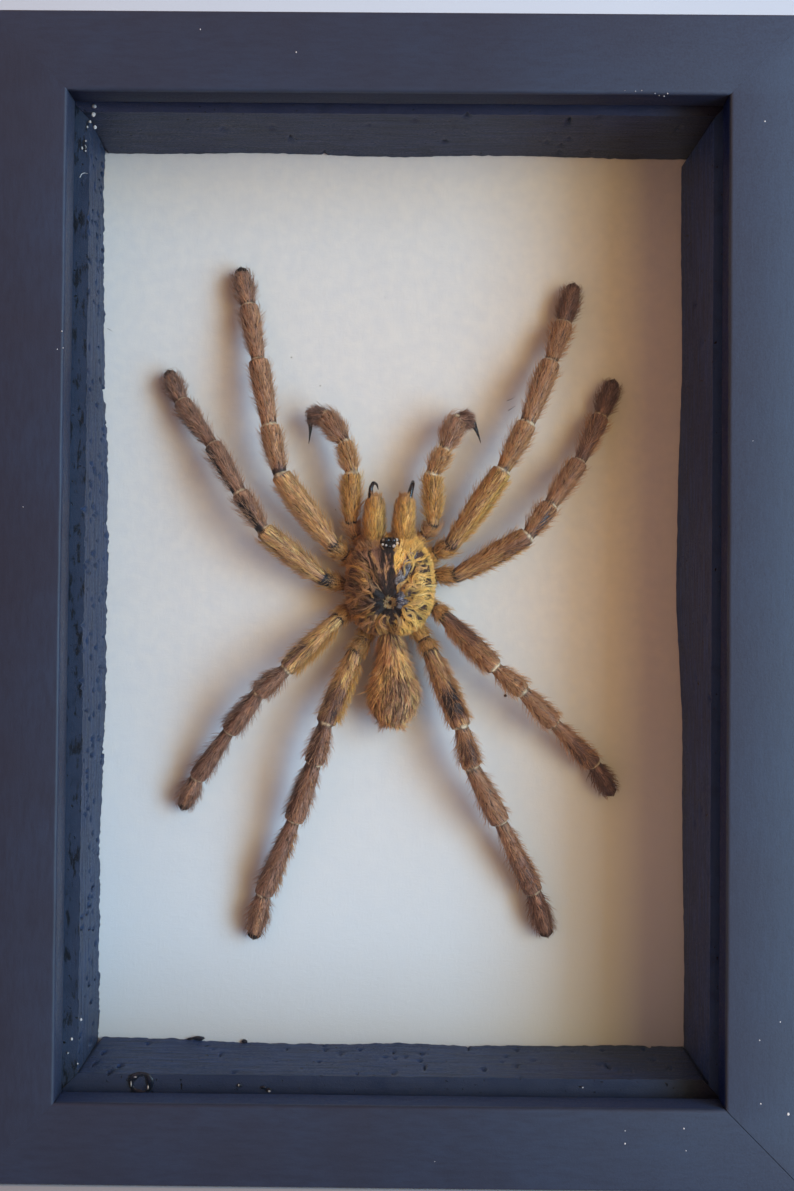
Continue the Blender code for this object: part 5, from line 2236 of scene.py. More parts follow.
@dataclass
class Carapace:
    """The shield over the head and chest: a dome with grooves, bands of colour and curled golden locks."""

    layout: Layout
    half_width: float = 6.8
    half_length: float = 8.0
    squareness: float = 2.35
    front_shift: float = 0.9
    edge: float = 4.9
    top: float = 9.3
    under: float = 0.95
    fovea: float = -2.0
    eyes: float = 7.25
    black_eyes: tuple[Triple, ...] = ((-0.42, 0.45, 0.5), (0.42, 0.45, 0.55), (-0.1, -0.5, 0.3))
    # The pearly eyes are placed where the eyes show glints, and their pale colour is partly painted
    # highlight.
    pale_eyes_and_glints: tuple[Triple, ...] = (
        (-1.02, 0.5, 0.27), (0.98, 0.62, 0.3), (-1.15, -0.2, 0.22), (1.1, 0.02, 0.28), (0.62, -0.45, 0.3),
        (-0.6, -0.35, 0.2),
    )
    cover_hairs: int = 15000
    lock_width: float = 0.074
    rim_hairs: int = 4600
    brow_hairs: int = 1700
    tuft_hairs: int = 260
    slate_hairs: tuple[int, int] = (520, 300)
    dark_bands: tuple[Band, ...] = (
        Band((-0.45, 6.9), (-0.2, -0.9), 1.05, 0.8),
        Band((-3.8, 6.3), (-2.0, -0.4), 0.7, 1.05),
        Band((-2.2, 0.6), (-1.5, -3.5), 1.0, 1.0),
        Band((-1.6, -3.5), (2.2, -3.6), 0.7, 0.5),
    )
    slate_bands: tuple[Band, ...] = (
        Band((3.8, 6.4), (1.25, 0.7), 0.62, 0.6),
        Band((1.6, 1.0), (2.0, -2.8), 0.6, 0.95),
    )
    gold_bands: tuple[Band, ...] = (
        Band((1.85, 6.4), (0.95, 2.0), 1.2, 0.2),
        Band((1.3, 7.35), (4.7, 7.0), 0.95, 1.05),
        Band((-0.45, 5.3), (-0.4, 0.4), 0.12, 0.1),
        Band((-2.7, 5.4), (-1.25, 2.4), 0.24, 0.16),
        Band((-5.1, 3.2), (-2.2, 0.1), 0.24, 0.16),
        Band((-1.7, 7.4), (-4.7, 6.6), 0.85, 1.05),
    )

    def profile(self) -> tuple[Array, ...]:
        """Knots from the fovea over the rim to the breastplate: reach, share of outline, height, drift."""
        edge, top, under = self.edge, self.top, self.under
        rows = (
            (0.0, top - 1.0, 1.0), (0.06, top - 0.85, 1.0), (0.2, top - 0.15, 1.0), (0.4, top, 0.8),
            (0.62, top - 0.5, 0.5), (0.82, edge + 2.9, 0.2), (0.95, edge + 1.7, 0.1), (1.0, edge + 0.8, 0.0),
            (0.97, edge + 0.25, 0.0), (0.86, edge, 0.0), (0.46, edge - 0.4, 0.0), (0.44, under + 0.8, 0.0),
            (0.4, under + 0.2, 0.0), (0.2, under, 0.0), (0.0, under, 0.0),
        )
        share, height, drift = (np.array(column) for column in zip(*rows))
        gaps = np.hypot(np.diff(share * self.half_width), np.diff(height))
        reach = np.concatenate([[0.0], np.cumsum(gaps)])
        fine = np.linspace(0.0, reach[-1], 160)
        columns = [even_out(np.interp(fine, reach, values), 6) for values in (share, height, drift)]
        return fine, *columns

    def __post_init__(self) -> None:
        """Reads the profile once."""
        self.knots = self.profile()
        self.rim = float(self.knots[0][np.argmax(self.knots[1])])
        self.swell = Ripple(41)

    def plan(self, angle: Array, reach: Array) -> tuple[Array, Array, Array]:
        """Finds places on the dome.

        Args:
            angle: Angles from +X.
            reach: How far out from the fovea, as in the knots.

        Returns:
            x and z in mm, and the height over the paper.
        """
        knots = self.knots[0]
        share, height, drift = (np.interp(reach, knots, values) for values in self.knots[1:])
        power = 2.0 / self.squareness
        across, along = np.cos(angle), np.sin(angle)
        wide = np.sign(across) * np.abs(across) ** power
        long = np.sign(along) * np.abs(along) ** power
        notch = np.where(along < 0, 0.09 * mound(wide, 0.2), 0.0)
        x = wide * share * self.half_width
        middle = self.front_shift + (self.fovea - self.front_shift) * drift
        z = middle + (long + notch) * share * self.half_length
        return x, z, height + self.relief(x, z, reach)

    def relief(self, x: Array, z: Array, reach: Array) -> Array:
        """Works out the grooves that run out from the fovea, and the mound that carries the eyes.

        Args:
            x: Places across in mm.
            z: Places up in mm.
            reach: How far out from the fovea, as in the knots.

        Returns:
            The height that they add, in mm.
        """
        heading, far = np.degrees(np.arctan2(x, z - self.fovea)), np.hypot(x, z - self.fovea)
        groove = sum(mound(np.abs(heading) - middle, 8.0) for middle in (36, 74, 108, 142))
        sunk = -0.38 * groove * smooth_step(far, 0.8, 2.5) * (1 - smooth_step(far, 5.4, 7.2))
        eyes = 1.15 * mound(x, 1.3, z - self.eyes, 0.85)
        return (sunk + eyes + 0.16 * (self.swell(x * 0.9 + 5, z * 0.9 + 5) - 0.5)) * (reach < self.rim)

    def normal(self, angle: Array, reach: Array) -> Array:
        """Finds the way out of the dome.

        Args:
            angle: Angles from +X.
            reach: How far out from the fovea, as in the knots.

        Returns:
            The unit normals.
        """
        small, spread = 0.04, self.layout.spread
        turn = spread(*self.plan(angle + small, reach)) - spread(*self.plan(angle - small, reach))
        out = spread(*self.plan(angle, reach + small)) - spread(*self.plan(angle, reach - small))
        return unit(np.cross(out, turn))

    def point(self, angle: Array, reach: Array, lift: Array) -> Array:
        """A point over the dome, lift in mm."""
        return self.layout.spread(*self.plan(angle, reach)) + self.normal(angle, reach) * lift[..., None] * MM

    def locate(self, x: Array, z: Array) -> tuple[Array, Array]:
        """Finds where places lie on the dome; one past the rim lies down its side.

        Args:
            x: Places across in mm.
            z: Places up in mm.

        Returns:
            Their angles and reaches.
        """
        angle, reach = np.arctan2(z - self.fovea, x), np.hypot(x, z - self.fovea)
        step = 0.02
        for _ in range(14):
            x_now, z_now, _ = self.plan(angle, reach)
            x_turn, z_turn, _ = self.plan(angle + step, reach)
            x_out, z_out, _ = self.plan(angle, reach + step)
            a, b = (x_turn - x_now) / step, (x_out - x_now) / step
            c, d = (z_turn - z_now) / step, (z_out - z_now) / step
            scale = a * d - b * c
            scale = np.where(np.abs(scale) < 1e-6, 1e-6, scale)
            miss_x, miss_z = x - x_now, z - z_now
            angle = angle + np.clip((miss_x * d - miss_z * b) / scale, -0.3, 0.3)
            out = np.clip((miss_z * a - miss_x * c) / scale, -0.8, 0.8)
            reach = np.clip(reach + out, 0.02, self.rim * 0.98)
        x_now, z_now, _ = self.plan(angle, reach)
        return angle, reach + np.maximum(np.hypot(x - x_now, z - z_now) - 0.05, 0.0)

    def fields(self, x: Array, z: Array) -> tuple[Array, Array, Array]:
        """Works out the marks on the dome, with ragged edges.

        Args:
            x: Places across in mm.
            z: Places up in mm.

        Returns:
            How dark, slate and golden the places are, 0 to 1.
        """
        x = x + 0.7 * (self.swell(x * 2.6 + 11, z * 1.2 + 4) - 0.5)
        dark, slate, gold = (
            np.max([band.share(x, z, soft) for band in bands], axis=0)
            for bands, soft in ((self.dark_bands, 0.4), (self.slate_bands, 0.35), (self.gold_bands, 0.22))
        )
        near = 1 - smooth_step(np.hypot(x, z - self.fovea), 1.5, 2.6)
        gold = gold * (1 - self.eye_field(x, z))
        return np.maximum(np.maximum(dark, near), self.eye_field(x, z)) * (1 - gold), slate * (1 - gold), gold

    def eye_field(self, x: Array, z: Array) -> Array:
        """1 on the bare mound of the eyes."""
        return 1 - smooth_step(np.hypot(x / 1.6, (z - self.eyes) / 1.0), 0.85, 1.15)

    def tone(self, x: Array, z: Array) -> tuple[Array, Array]:
        """Colours the long hair: golden on the right, orange-brown and dim on the left, the dim brown left
        being painted shade.

        Args:
            x: Roots across in mm.
            z: Roots up in mm.

        Returns:
            Their pigment and light.
        """
        # lit is painted light and shade: the hair is brighter and more golden towards the right, where the
        # light comes from.
        lit = smooth_step(x, -2.6, 1.6)
        low = (1 - lit) * smooth_step(-z, 2.0, 5.5)
        return 0.6 + 0.2 * lit + 0.06 * low, 0.6 + 0.4 * lit + 0.16 * low

    def skin(self) -> Object:
        """The dome down to the breastplate."""
        reach = np.linspace(0.12, self.knots[0][-1] - 0.1, 96)[:, None]
        angle = np.linspace(0.0, FULL_TURN, 121)[None, :] + 0 * reach
        angle[:, -1] = 0.0
        bm = shell(self.layout.spread(*self.plan(angle, reach + 0 * angle)))
        layout = self.layout

        def tint(places: Array, _: Array) -> Array:
            """Dark brown under the hair, black in the dark bands and slate blue in the slate bands, with a
            blue patch right of the fovea that is painted sheen.

            Args:
                places: The vertices.

            Returns:
                Their colours.
            """
            x = (places[:, 0] - layout.body_x) / MM
            z = (places[:, 2] - layout.centre.z - layout.body_rise) / MM
            dark, slate, gold = self.fields(x, z)
            # blue is painted sheen: a blue patch right of the fovea where the skin reflects the light.
            blue = 0.85 * mound(x - 1.9, 0.9, z + 0.9, 1.8)
            made = np.tile(np.array(seen(52, 36, 26)), (len(places), 1))
            for share, tone in ((dark, seen(34, 26, 22)), (slate, seen(56, 57, 64)),
                                (blue, seen(84, 100, 150)), (gold, seen(140, 98, 42))):
                made = mixed(made, np.array(tone), share[:, None])
            return made

        paint_skin(bm, tint)
        return solid(bm, "carapace_skin", BODY_SKIN, ["cephalothorax"], crease=80)

    def eye_cluster(self) -> None:
        """Black eyes in the middle of their mound and small pearly ones round them. The pearly ones are real
        pale eyes that also stand in for the glints on the eyes, as painted highlight.
        """
        sorts = (("black_eyes", self.black_eyes, HORN), ("pale_eyes_and_glints", self.pale_eyes_and_glints, PEARL))
        for name, places, finish in sorts:
            bm = bmesh.new()
            for x, z, radius in places:
                angle, reach = self.locate(np.array([x]), np.array([self.eyes + z]))
                height = float(self.plan(angle, reach)[2][0])
                place = Matrix.Translation(self.layout.at(x, self.eyes + z, height + 0.12))
                bmesh.ops.create_icosphere(bm, subdivisions=3, radius=radius * MM,
                                           matrix=place @ Matrix.Diagonal((1.0, 0.8, 0.9, 1.0)))
            solid(bm, name, finish, crease=180)

    def lay(self, coat: Coat, x: Array, z: Array, heading: Array, length: Array, curve: Array, lift: Array,
            pigment: Array, light: Array, width: float = 0.1) -> None:
        """Lays hairs on the dome.

        Args:
            coat: Where the hairs go.
            x: (hairs,) place of the roots in mm.
            z: The same, up the sheet.
            heading: (hairs,) way they run, clockwise from straight ahead.
            length: (hairs,) length in mm.
            curve: (hairs, points) turn away from the heading along each hair.
            lift: (hairs, points) height over the skin in mm.
            pigment: (hairs,) colour.
            light: (hairs, points) brightness.
            width: Width at the root in mm.
        """
        turn, pace = heading[:, None] + curve, length[:, None] / (curve.shape[1] - 1)
        middle = (turn[:, 1:] + turn[:, :-1]) / 2
        start = np.zeros((len(x), 1))
        path_x = x[:, None] + np.concatenate([start, np.cumsum(np.sin(middle) * pace, axis=1)], axis=1)
        path_z = z[:, None] + np.concatenate([start, np.cumsum(np.cos(middle) * pace, axis=1)], axis=1)
        angle, reach = self.locate(path_x, path_z)
        coat.blades(self.point(angle, reach, lift), self.normal(angle, reach), np.full(len(x), width * MM),
                    pigment, light)

    def cover(self, coat: Coat) -> None:
        """Adds short hair that follows the colours of the bands, golden, brown or black.

        Args:
            coat: Where the hairs go.
        """
        rng, count, steps = coat.rng, self.cover_hairs, steps_of(3)
        x, z, _ = self.plan(rng.uniform(0, FULL_TURN, count), np.sqrt(rng.random(count)) * self.rim)
        dark, slate, gold = self.fields(x, z)
        side = smooth_step(np.abs(np.degrees(np.arctan2(x, z - self.fovea))), 30, 44)
        keep = (rng.random(count) > 0.75 * slate + 0.3 * side) & (self.eye_field(x, z) < 0.3)
        x, z, dark, slate, gold, side = (values[keep] for values in (x, z, dark, slate, gold, side))
        count = len(x)
        pigment, light = self.tone(x, z)
        base = mixed(0.19 + 0.13 * (x < 0), 0.08, dark)
        pigment = mixed(base, pigment + 0.06, gold) + rng.normal(0.0, 0.03, count)
        grain = self.swell(x * 5, z * 5) - 0.5
        light = mixed(0.6 - 0.15 * side, light, gold) + 0.35 * grain + rng.normal(0, 0.13, count)
        heading = np.arctan2(x, z - self.fovea) + rng.normal(0.0, 0.3, count)
        lift = 0.02 + 0.12 * rng.uniform(0.3, 1.3, count)[:, None] * steps
        self.lay(coat, x, z, heading, rng.uniform(0.4, 0.9, count), 0 * lift, lift, pigment,
                 np.clip(light, 0.08, 1.0)[:, None] * (0.65 + 0.45 * steps))

    def lock_row(self, coat: Coat, row: LockRow) -> None:
        """Lays one row of wavy locks; the hairs of a lock share its bend, its wave and its tone.

        Args:
            coat: Where the hairs go.
            row: The row.
        """
        rng, side, steps = coat.rng, row.side, steps_of(9)
        middle = np.arange(row.first, row.last, row.pitch)
        locks = len(middle)
        middle = middle + rng.uniform(-0.5, 0.5, locks) * row.pitch
        lock = np.repeat(np.arange(locks), row.hairs)
        count = len(lock)

        def even(low: float, high: float) -> Array:
            """One even draw a lock, spread to its hairs."""
            return rng.uniform(low, high, locks)[lock]

        def bell(centre: float, spread: float) -> Array:
            """One draw round a centre a lock, spread to its hairs."""
            return rng.normal(centre, spread, locks)[lock]

        away = np.radians(side * middle[lock])
        out = row.low + even(row.near + (0.5 if side < 0 else 0.0), row.far)
        out = out + rng.uniform(-0.2, 0.2, count)
        beside = rng.normal(0.0, 0.13, count)
        x = out * np.sin(away) + beside * np.cos(away)
        z = self.fovea + out * np.cos(away) - beside * np.sin(away)
        bend, wave = bell(0.35 * side, 0.6)[:, None], even(0.35, 1.1)[:, None]
        phase, waves = even(0.0, 1.0)[:, None], even(0.7, 1.6)[:, None]
        swing = np.sin(FULL_TURN * (steps * waves + phase))
        curve = bend * steps + wave * swing + rng.normal(0.0, 0.2, count)[:, None] * steps
        heading = away + bell(0.0, 0.3) - 0.7 * beside
        length = row.length * even(0.6, 1.15) * rng.uniform(0.75, 1.08, count)
        rise = even(0.15, 0.6)[:, None] * np.sin(steps * math.pi * 0.85)
        lift = 0.06 + rise + rng.uniform(0, 0.1, count)[:, None]
        pigment, light = self.tone(x + 1.5 * np.sin(away), z + 1.5 * np.cos(away))
        level = light * (1.0 + bell(0.0, 0.26)) - 1.8 * np.abs(beside)
        level = np.clip(level + rng.normal(0.0, 0.18, count), 0.1, 1.1)[:, None] * (0.42 + 0.76 * steps)
        pigment = pigment + bell(0.0, 0.06) + rng.normal(0.0, 0.02, count)
        self.lay(coat, x, z, heading, length, curve, lift, np.minimum(pigment, 0.93), level, self.lock_width)

    def locks(self, coat: Coat) -> None:
        """Wavy locks with dark gaps between them that sweep out from beside the dark middle to the rim."""
        for row in LockRow.all():
            self.lock_row(coat, row)

    def rim_fringe(self, coat: Coat) -> None:
        """Adds hair that hangs over the rim all round.

        Args:
            coat: Where the hairs go.
        """
        rng, count, steps = coat.rng, self.rim_hairs, steps_of(5)
        angle, reach = rng.uniform(0, FULL_TURN, count), self.rim * rng.uniform(0.88, 1.02, count)
        x, z, _ = self.plan(angle, reach)
        clump = self.swell(angle * 14, 3 + 0 * angle) - 0.5
        path_angle = angle[:, None] + (rng.normal(0.0, 0.06, count) + 0.25 * clump)[:, None] * steps
        path_reach = reach[:, None] + rng.uniform(0.6, 1.7, count)[:, None] * steps * 0.9
        lift = 0.04 + 0.55 * rng.uniform(0.1, 1.2, count)[:, None] * steps
        pigment, light = self.tone(x, z)
        light = light + 0.5 * (self.swell(angle * 30, reach) - 0.5) + rng.normal(0.0, 0.12, count)
        light = np.clip(light, 0.1, 1)[:, None] * (0.5 + 0.55 * steps)
        coat.blades(self.point(path_angle, path_reach, lift), self.normal(path_angle, path_reach), 0.1 * MM,
                    pigment + rng.normal(0.0, 0.05, count), light)

    def brow(self, coat: Coat) -> None:
        """Adds hair that reaches forward over the roots of the jaws.

        Args:
            coat: Where the hairs go.
        """
        rng, count, steps = coat.rng, self.brow_hairs, steps_of(5)
        x, z = rng.uniform(-4.6, 4.6, count), 7.9 - 2.3 * rng.random(count) ** 1.4
        ragged = 6.9 - 0.9 * self.swell(x * 1.7 + 9, 0.3 + 0 * x) * (x > 0) - 0.1 * np.abs(x)
        keep = (self.eye_field(x, z) < 0.2) & (z > ragged + rng.normal(0.0, 0.25, count))
        x, z = x[keep], z[keep]
        count = len(x)
        pigment, light = self.tone(x, z)
        light = light * 0.9 + 0.7 * (self.swell(x * 3.4, z) - 0.5) + rng.normal(0, 0.14, count)
        light = np.clip(light, 0.1, 1)[:, None] * (0.55 + 0.45 * steps)
        lift = 0.1 + 0.9 * rng.uniform(0.4, 1.2, count)[:, None] * steps
        self.lay(coat, x, z, x * 0.09 + rng.normal(0, 0.25, count), rng.uniform(0.7, 1.5, count),
                 rng.normal(0, 0.3, count)[:, None] * steps, lift, pigment - 0.03, light)

    def sparse(self, coat: Coat) -> None:
        """Adds the pale tuft round the fovea, and short slate hairs in the slate bands, whose bluish grey is
        partly painted sheen.

        Args:
            coat: Where the hairs go.
        """
        rng, count, steps = coat.rng, self.tuft_hairs, steps_of(4)
        away, ring = rng.uniform(0, FULL_TURN, count), rng.uniform(0.35, 0.85, count)
        heading = away + rng.choice([-1.2, 0.0, 1.2], count) + rng.normal(0.0, 0.4, count)
        lift = 0.1 + 0.7 * rng.uniform(0.2, 1.2, count)[:, None] * steps
        length, curve = rng.uniform(0.3, 0.75, count), rng.normal(0.0, 0.6, count)[:, None] * steps
        pigment = rng.choice([0.95, PALE, 0.5], count)
        light = rng.uniform(0.3, 1.0, count)[:, None] * (0.55 + 0.45 * steps)
        x, z = 0.1 + ring * np.sin(away), self.fovea + 1.15 * ring * np.cos(away)
        self.lay(coat, x, z, heading, length, curve, lift, pigment, light)
        # The slate hairs take the bluish last stop of the dye, partly painted sheen.
        for band, count in zip(self.slate_bands, self.slate_hairs):
            x, z = band.place(rng.random(count), rng.uniform(-1.0, 1.0, count))
            lift = 0.03 + 0.12 * rng.random(count)[:, None] * steps
            light = rng.choice([0.12, 0.3, 0.5, 0.9], count)[:, None] * (0.7 + 0.3 * steps)
            self.lay(coat, x, z, np.arctan2(x, z - self.fovea) + rng.normal(0, 0.5, count),
                     rng.uniform(0.15, 0.5, count), 0 * lift, lift, np.full(count, 0.99), light)

    def build(self) -> None:
        """Skin, eyes and hair."""
        self.skin()
        self.eye_cluster()
        coat = Coat(400)
        for lay in (self.cover, self.locks, self.rim_fringe, self.brow, self.sparse):
            lay(coat)
        coat.piece("carapace_fur", BODY_HAIR, Slot.BODY_HAIR)


@dataclass
class Abdomen:
    """The soft rear body under long hair that is combed back."""

    layout: Layout
    front: float = -6.6
    length: float = 15.0
    half_width: float = 3.85
    half_height: float = 3.2
    height: float = 4.9
    shift: float = 0.8
    cover_hairs: int = 7000
    streaks: int = 1650
    streak_hairs: int = 5
    hair_width: float = 0.075

    def tube(self) -> Tube:
        """The skin under the hair."""
        share = np.array([0.0, 0.05, 0.16, 0.3, 0.44, 0.58, 0.7, 0.81, 0.9, 0.96, 1.0])
        wide = np.array([0.3, 0.4, 0.47, 0.58, 0.76, 0.96, 1.0, 0.9, 0.68, 0.42, 0.1])
        high = np.array([0.4, 0.5, 0.62, 0.8, 0.95, 1.0, 0.96, 0.84, 0.66, 0.46, 0.12])
        drift = np.array([0.0, 0.1, 0.3, 0.6, 0.8, 0.9, 0.9, 0.8, 0.7, 0.6, 0.5])
        fine = np.linspace(0.0, 1.0, 70)
        line = self.layout.spread(self.shift * np.interp(fine, share, drift), self.front - self.length * fine,
                                  self.height + 0 * fine)
        return Tube.along_line(run_of(line), line, unit(np.gradient(line, axis=0)),
                               self.half_width * np.interp(fine, share, wide) * MM,
                               self.half_height * np.interp(fine, share, high) * MM)

    def tone(self, distance: Array, turn: Array) -> tuple[Array, Array, Array]:
        """Colours the hair: pale shoulders, a dark middle, a dark spot at the waist.

        Args:
            distance: Roots along the abdomen.
            turn: Roots round it.

        Returns:
            Pigment, light and share of pale hairs.
        """
        share, beside = distance / (self.length * MM), np.cos(turn)
        drift = -0.22 + 0.25 * smooth_step(share, 0.45, 0.65)
        middle = mound(beside - drift, 0.16 + 0.5 * share) * smooth_step(share, 0.3, 0.46)
        middle = middle * (1 - 0.6 * smooth_step(share, 0.74, 0.92))
        right = mound(beside + 0.52, 0.34, share - 0.26, 0.17)
        left = mound(beside - 0.5, 0.42, share - 0.45, 0.3)
        waist = mound(beside + 0.45, 0.45, share - 0.03, 0.08)
        streak = Ripple(62, 40)(turn / FULL_TURN * 40, distance / MM / 2.6) - 0.5
        pigment = 0.56 - 0.08 * middle - 0.25 * waist
        light = 0.9 + 0.3 * right + 0.35 * left - 0.42 * middle - 0.4 * waist + 0.4 * streak
        return pigment, light, 0.2 + 0.5 * right + 0.35 * left - 0.15 * middle

    def cover(self, coat: Coat, tube: Tube) -> None:
        """Adds a dense coat of shorter, darker hair.

        Args:
            coat: Where the hairs go.
            tube: The abdomen's skin.
        """
        rng, count, steps = coat.rng, self.cover_hairs, steps_of(4)
        distance, turn = rng.uniform(0.0, tube.along[-1] * 0.97, count), rng.uniform(0, FULL_TURN, count)
        path_distance = distance[:, None] + MM * rng.uniform(0.8, 1.6, count)[:, None] * steps
        held = np.minimum(path_distance, tube.along[-1] - 0.5 * MM)
        path_turn = turn[:, None] + rng.normal(0.0, 0.1, count)[:, None] * steps
        lift = 0.03 * MM + 0.35 * MM * rng.uniform(0.2, 1.1, count)[:, None] * steps
        path = tube.point(held, path_turn, lift)
        path = path + ((path_distance - held) * 0.6)[..., None] * np.array([0.0, 0.0, -1.0])
        pigment, light, _ = self.tone(distance, turn)
        light = np.clip(light - 0.42 + rng.normal(0.0, 0.14, count), 0.05, 0.9)[:, None] * (0.5 + 0.5 * steps)
        pigment = pigment - 0.12 + rng.normal(0.0, 0.05, count)
        coat.blades(path, tube.outward(held, path_turn), 0.115 * MM, pigment, light)

    def locks(self, coat: Coat, tube: Tube) -> None:
        """Adds shaggy streaks of hair, light and dark side by side, that end raggedly past the tail.

        Args:
            coat: Where the hairs go.
            tube: The abdomen's skin.
        """
        rng, steps, hairs = coat.rng, steps_of(5), self.streak_hairs
        for _ in range(self.streaks):
            distance = tube.along[-1] * rng.uniform(0.0, 0.97)
            turn = rng.uniform(-0.5, math.pi + 0.5)
            length, reach = MM * rng.uniform(1.1, 2.5), float(tube.read(tube.wide, np.array([distance]))[0])
            offset = rng.normal(0.0, 0.06 * MM / max(reach, MM), hairs)[:, None]
            sway = (rng.normal(0.0, 0.07) + rng.normal(0.0, 0.04, hairs)[:, None]) * steps ** 1.3
            start = distance + rng.uniform(-0.3, 0.3, hairs)[:, None] * MM
            path_distance = start + length * steps * rng.uniform(0.75, 1.1, hairs)[:, None]
            held = np.minimum(path_distance, tube.along[-1] - 0.7 * MM)
            path_turn = turn + offset * (1 - 0.3 * steps) + sway
            shaggy = 1.8 if rng.random() < 0.2 else 1.0
            rise = shaggy * rng.uniform(0.2, 1.1) * MM * steps ** 1.2 * rng.uniform(0.7, 1.3, hairs)[:, None]
            path = tube.point(held, path_turn, 0.05 * MM + rise)
            past = (path_distance - held) * rng.uniform(0.45, 0.9)
            path = path + past[..., None] * np.array([0.0, 0.05, -1.0])
            pigment, light, pale = self.tone(np.array([distance]), np.array([turn]))
            level = light + rng.normal(0.0, 0.2) + rng.normal(0.0, 0.1, hairs)
            dim = 0.3 if rng.random() < 0.25 else 1.15
            level = np.clip(level * dim, 0.08, 1.3)[:, None] * (0.35 + 0.8 * steps)
            pigment = np.where(rng.random(hairs) < pale, PALE, pigment + rng.normal(0.0, 0.03, hairs))
            coat.blades(path, tube.outward(held, path_turn), self.hair_width * MM, pigment, level)

    def build(self) -> None:
        """Skin and hair."""
        tube = self.tube()
        bm = tube.skin(48, 61, wrinkle=0.16)
        paint_skin(bm, seen(70, 44, 28))
        solid(bm, "abdomen_skin", BODY_SKIN, ["abdomen"], crease=80)
        coat = Coat(420)
        self.cover(coat, tube)
        self.locks(coat, tube)
        coat.piece("abdomen_fur", BODY_HAIR, Slot.BODY_HAIR)


# ---------------------------------------------------------------- traces


@dataclass(frozen=True)
class Crumb:
    """A grain, drop or bead: its place in mm from the middle of the opening, depth and half sizes."""

    x: float
    z: float
    depth: float
    size: tuple[float, float, float]


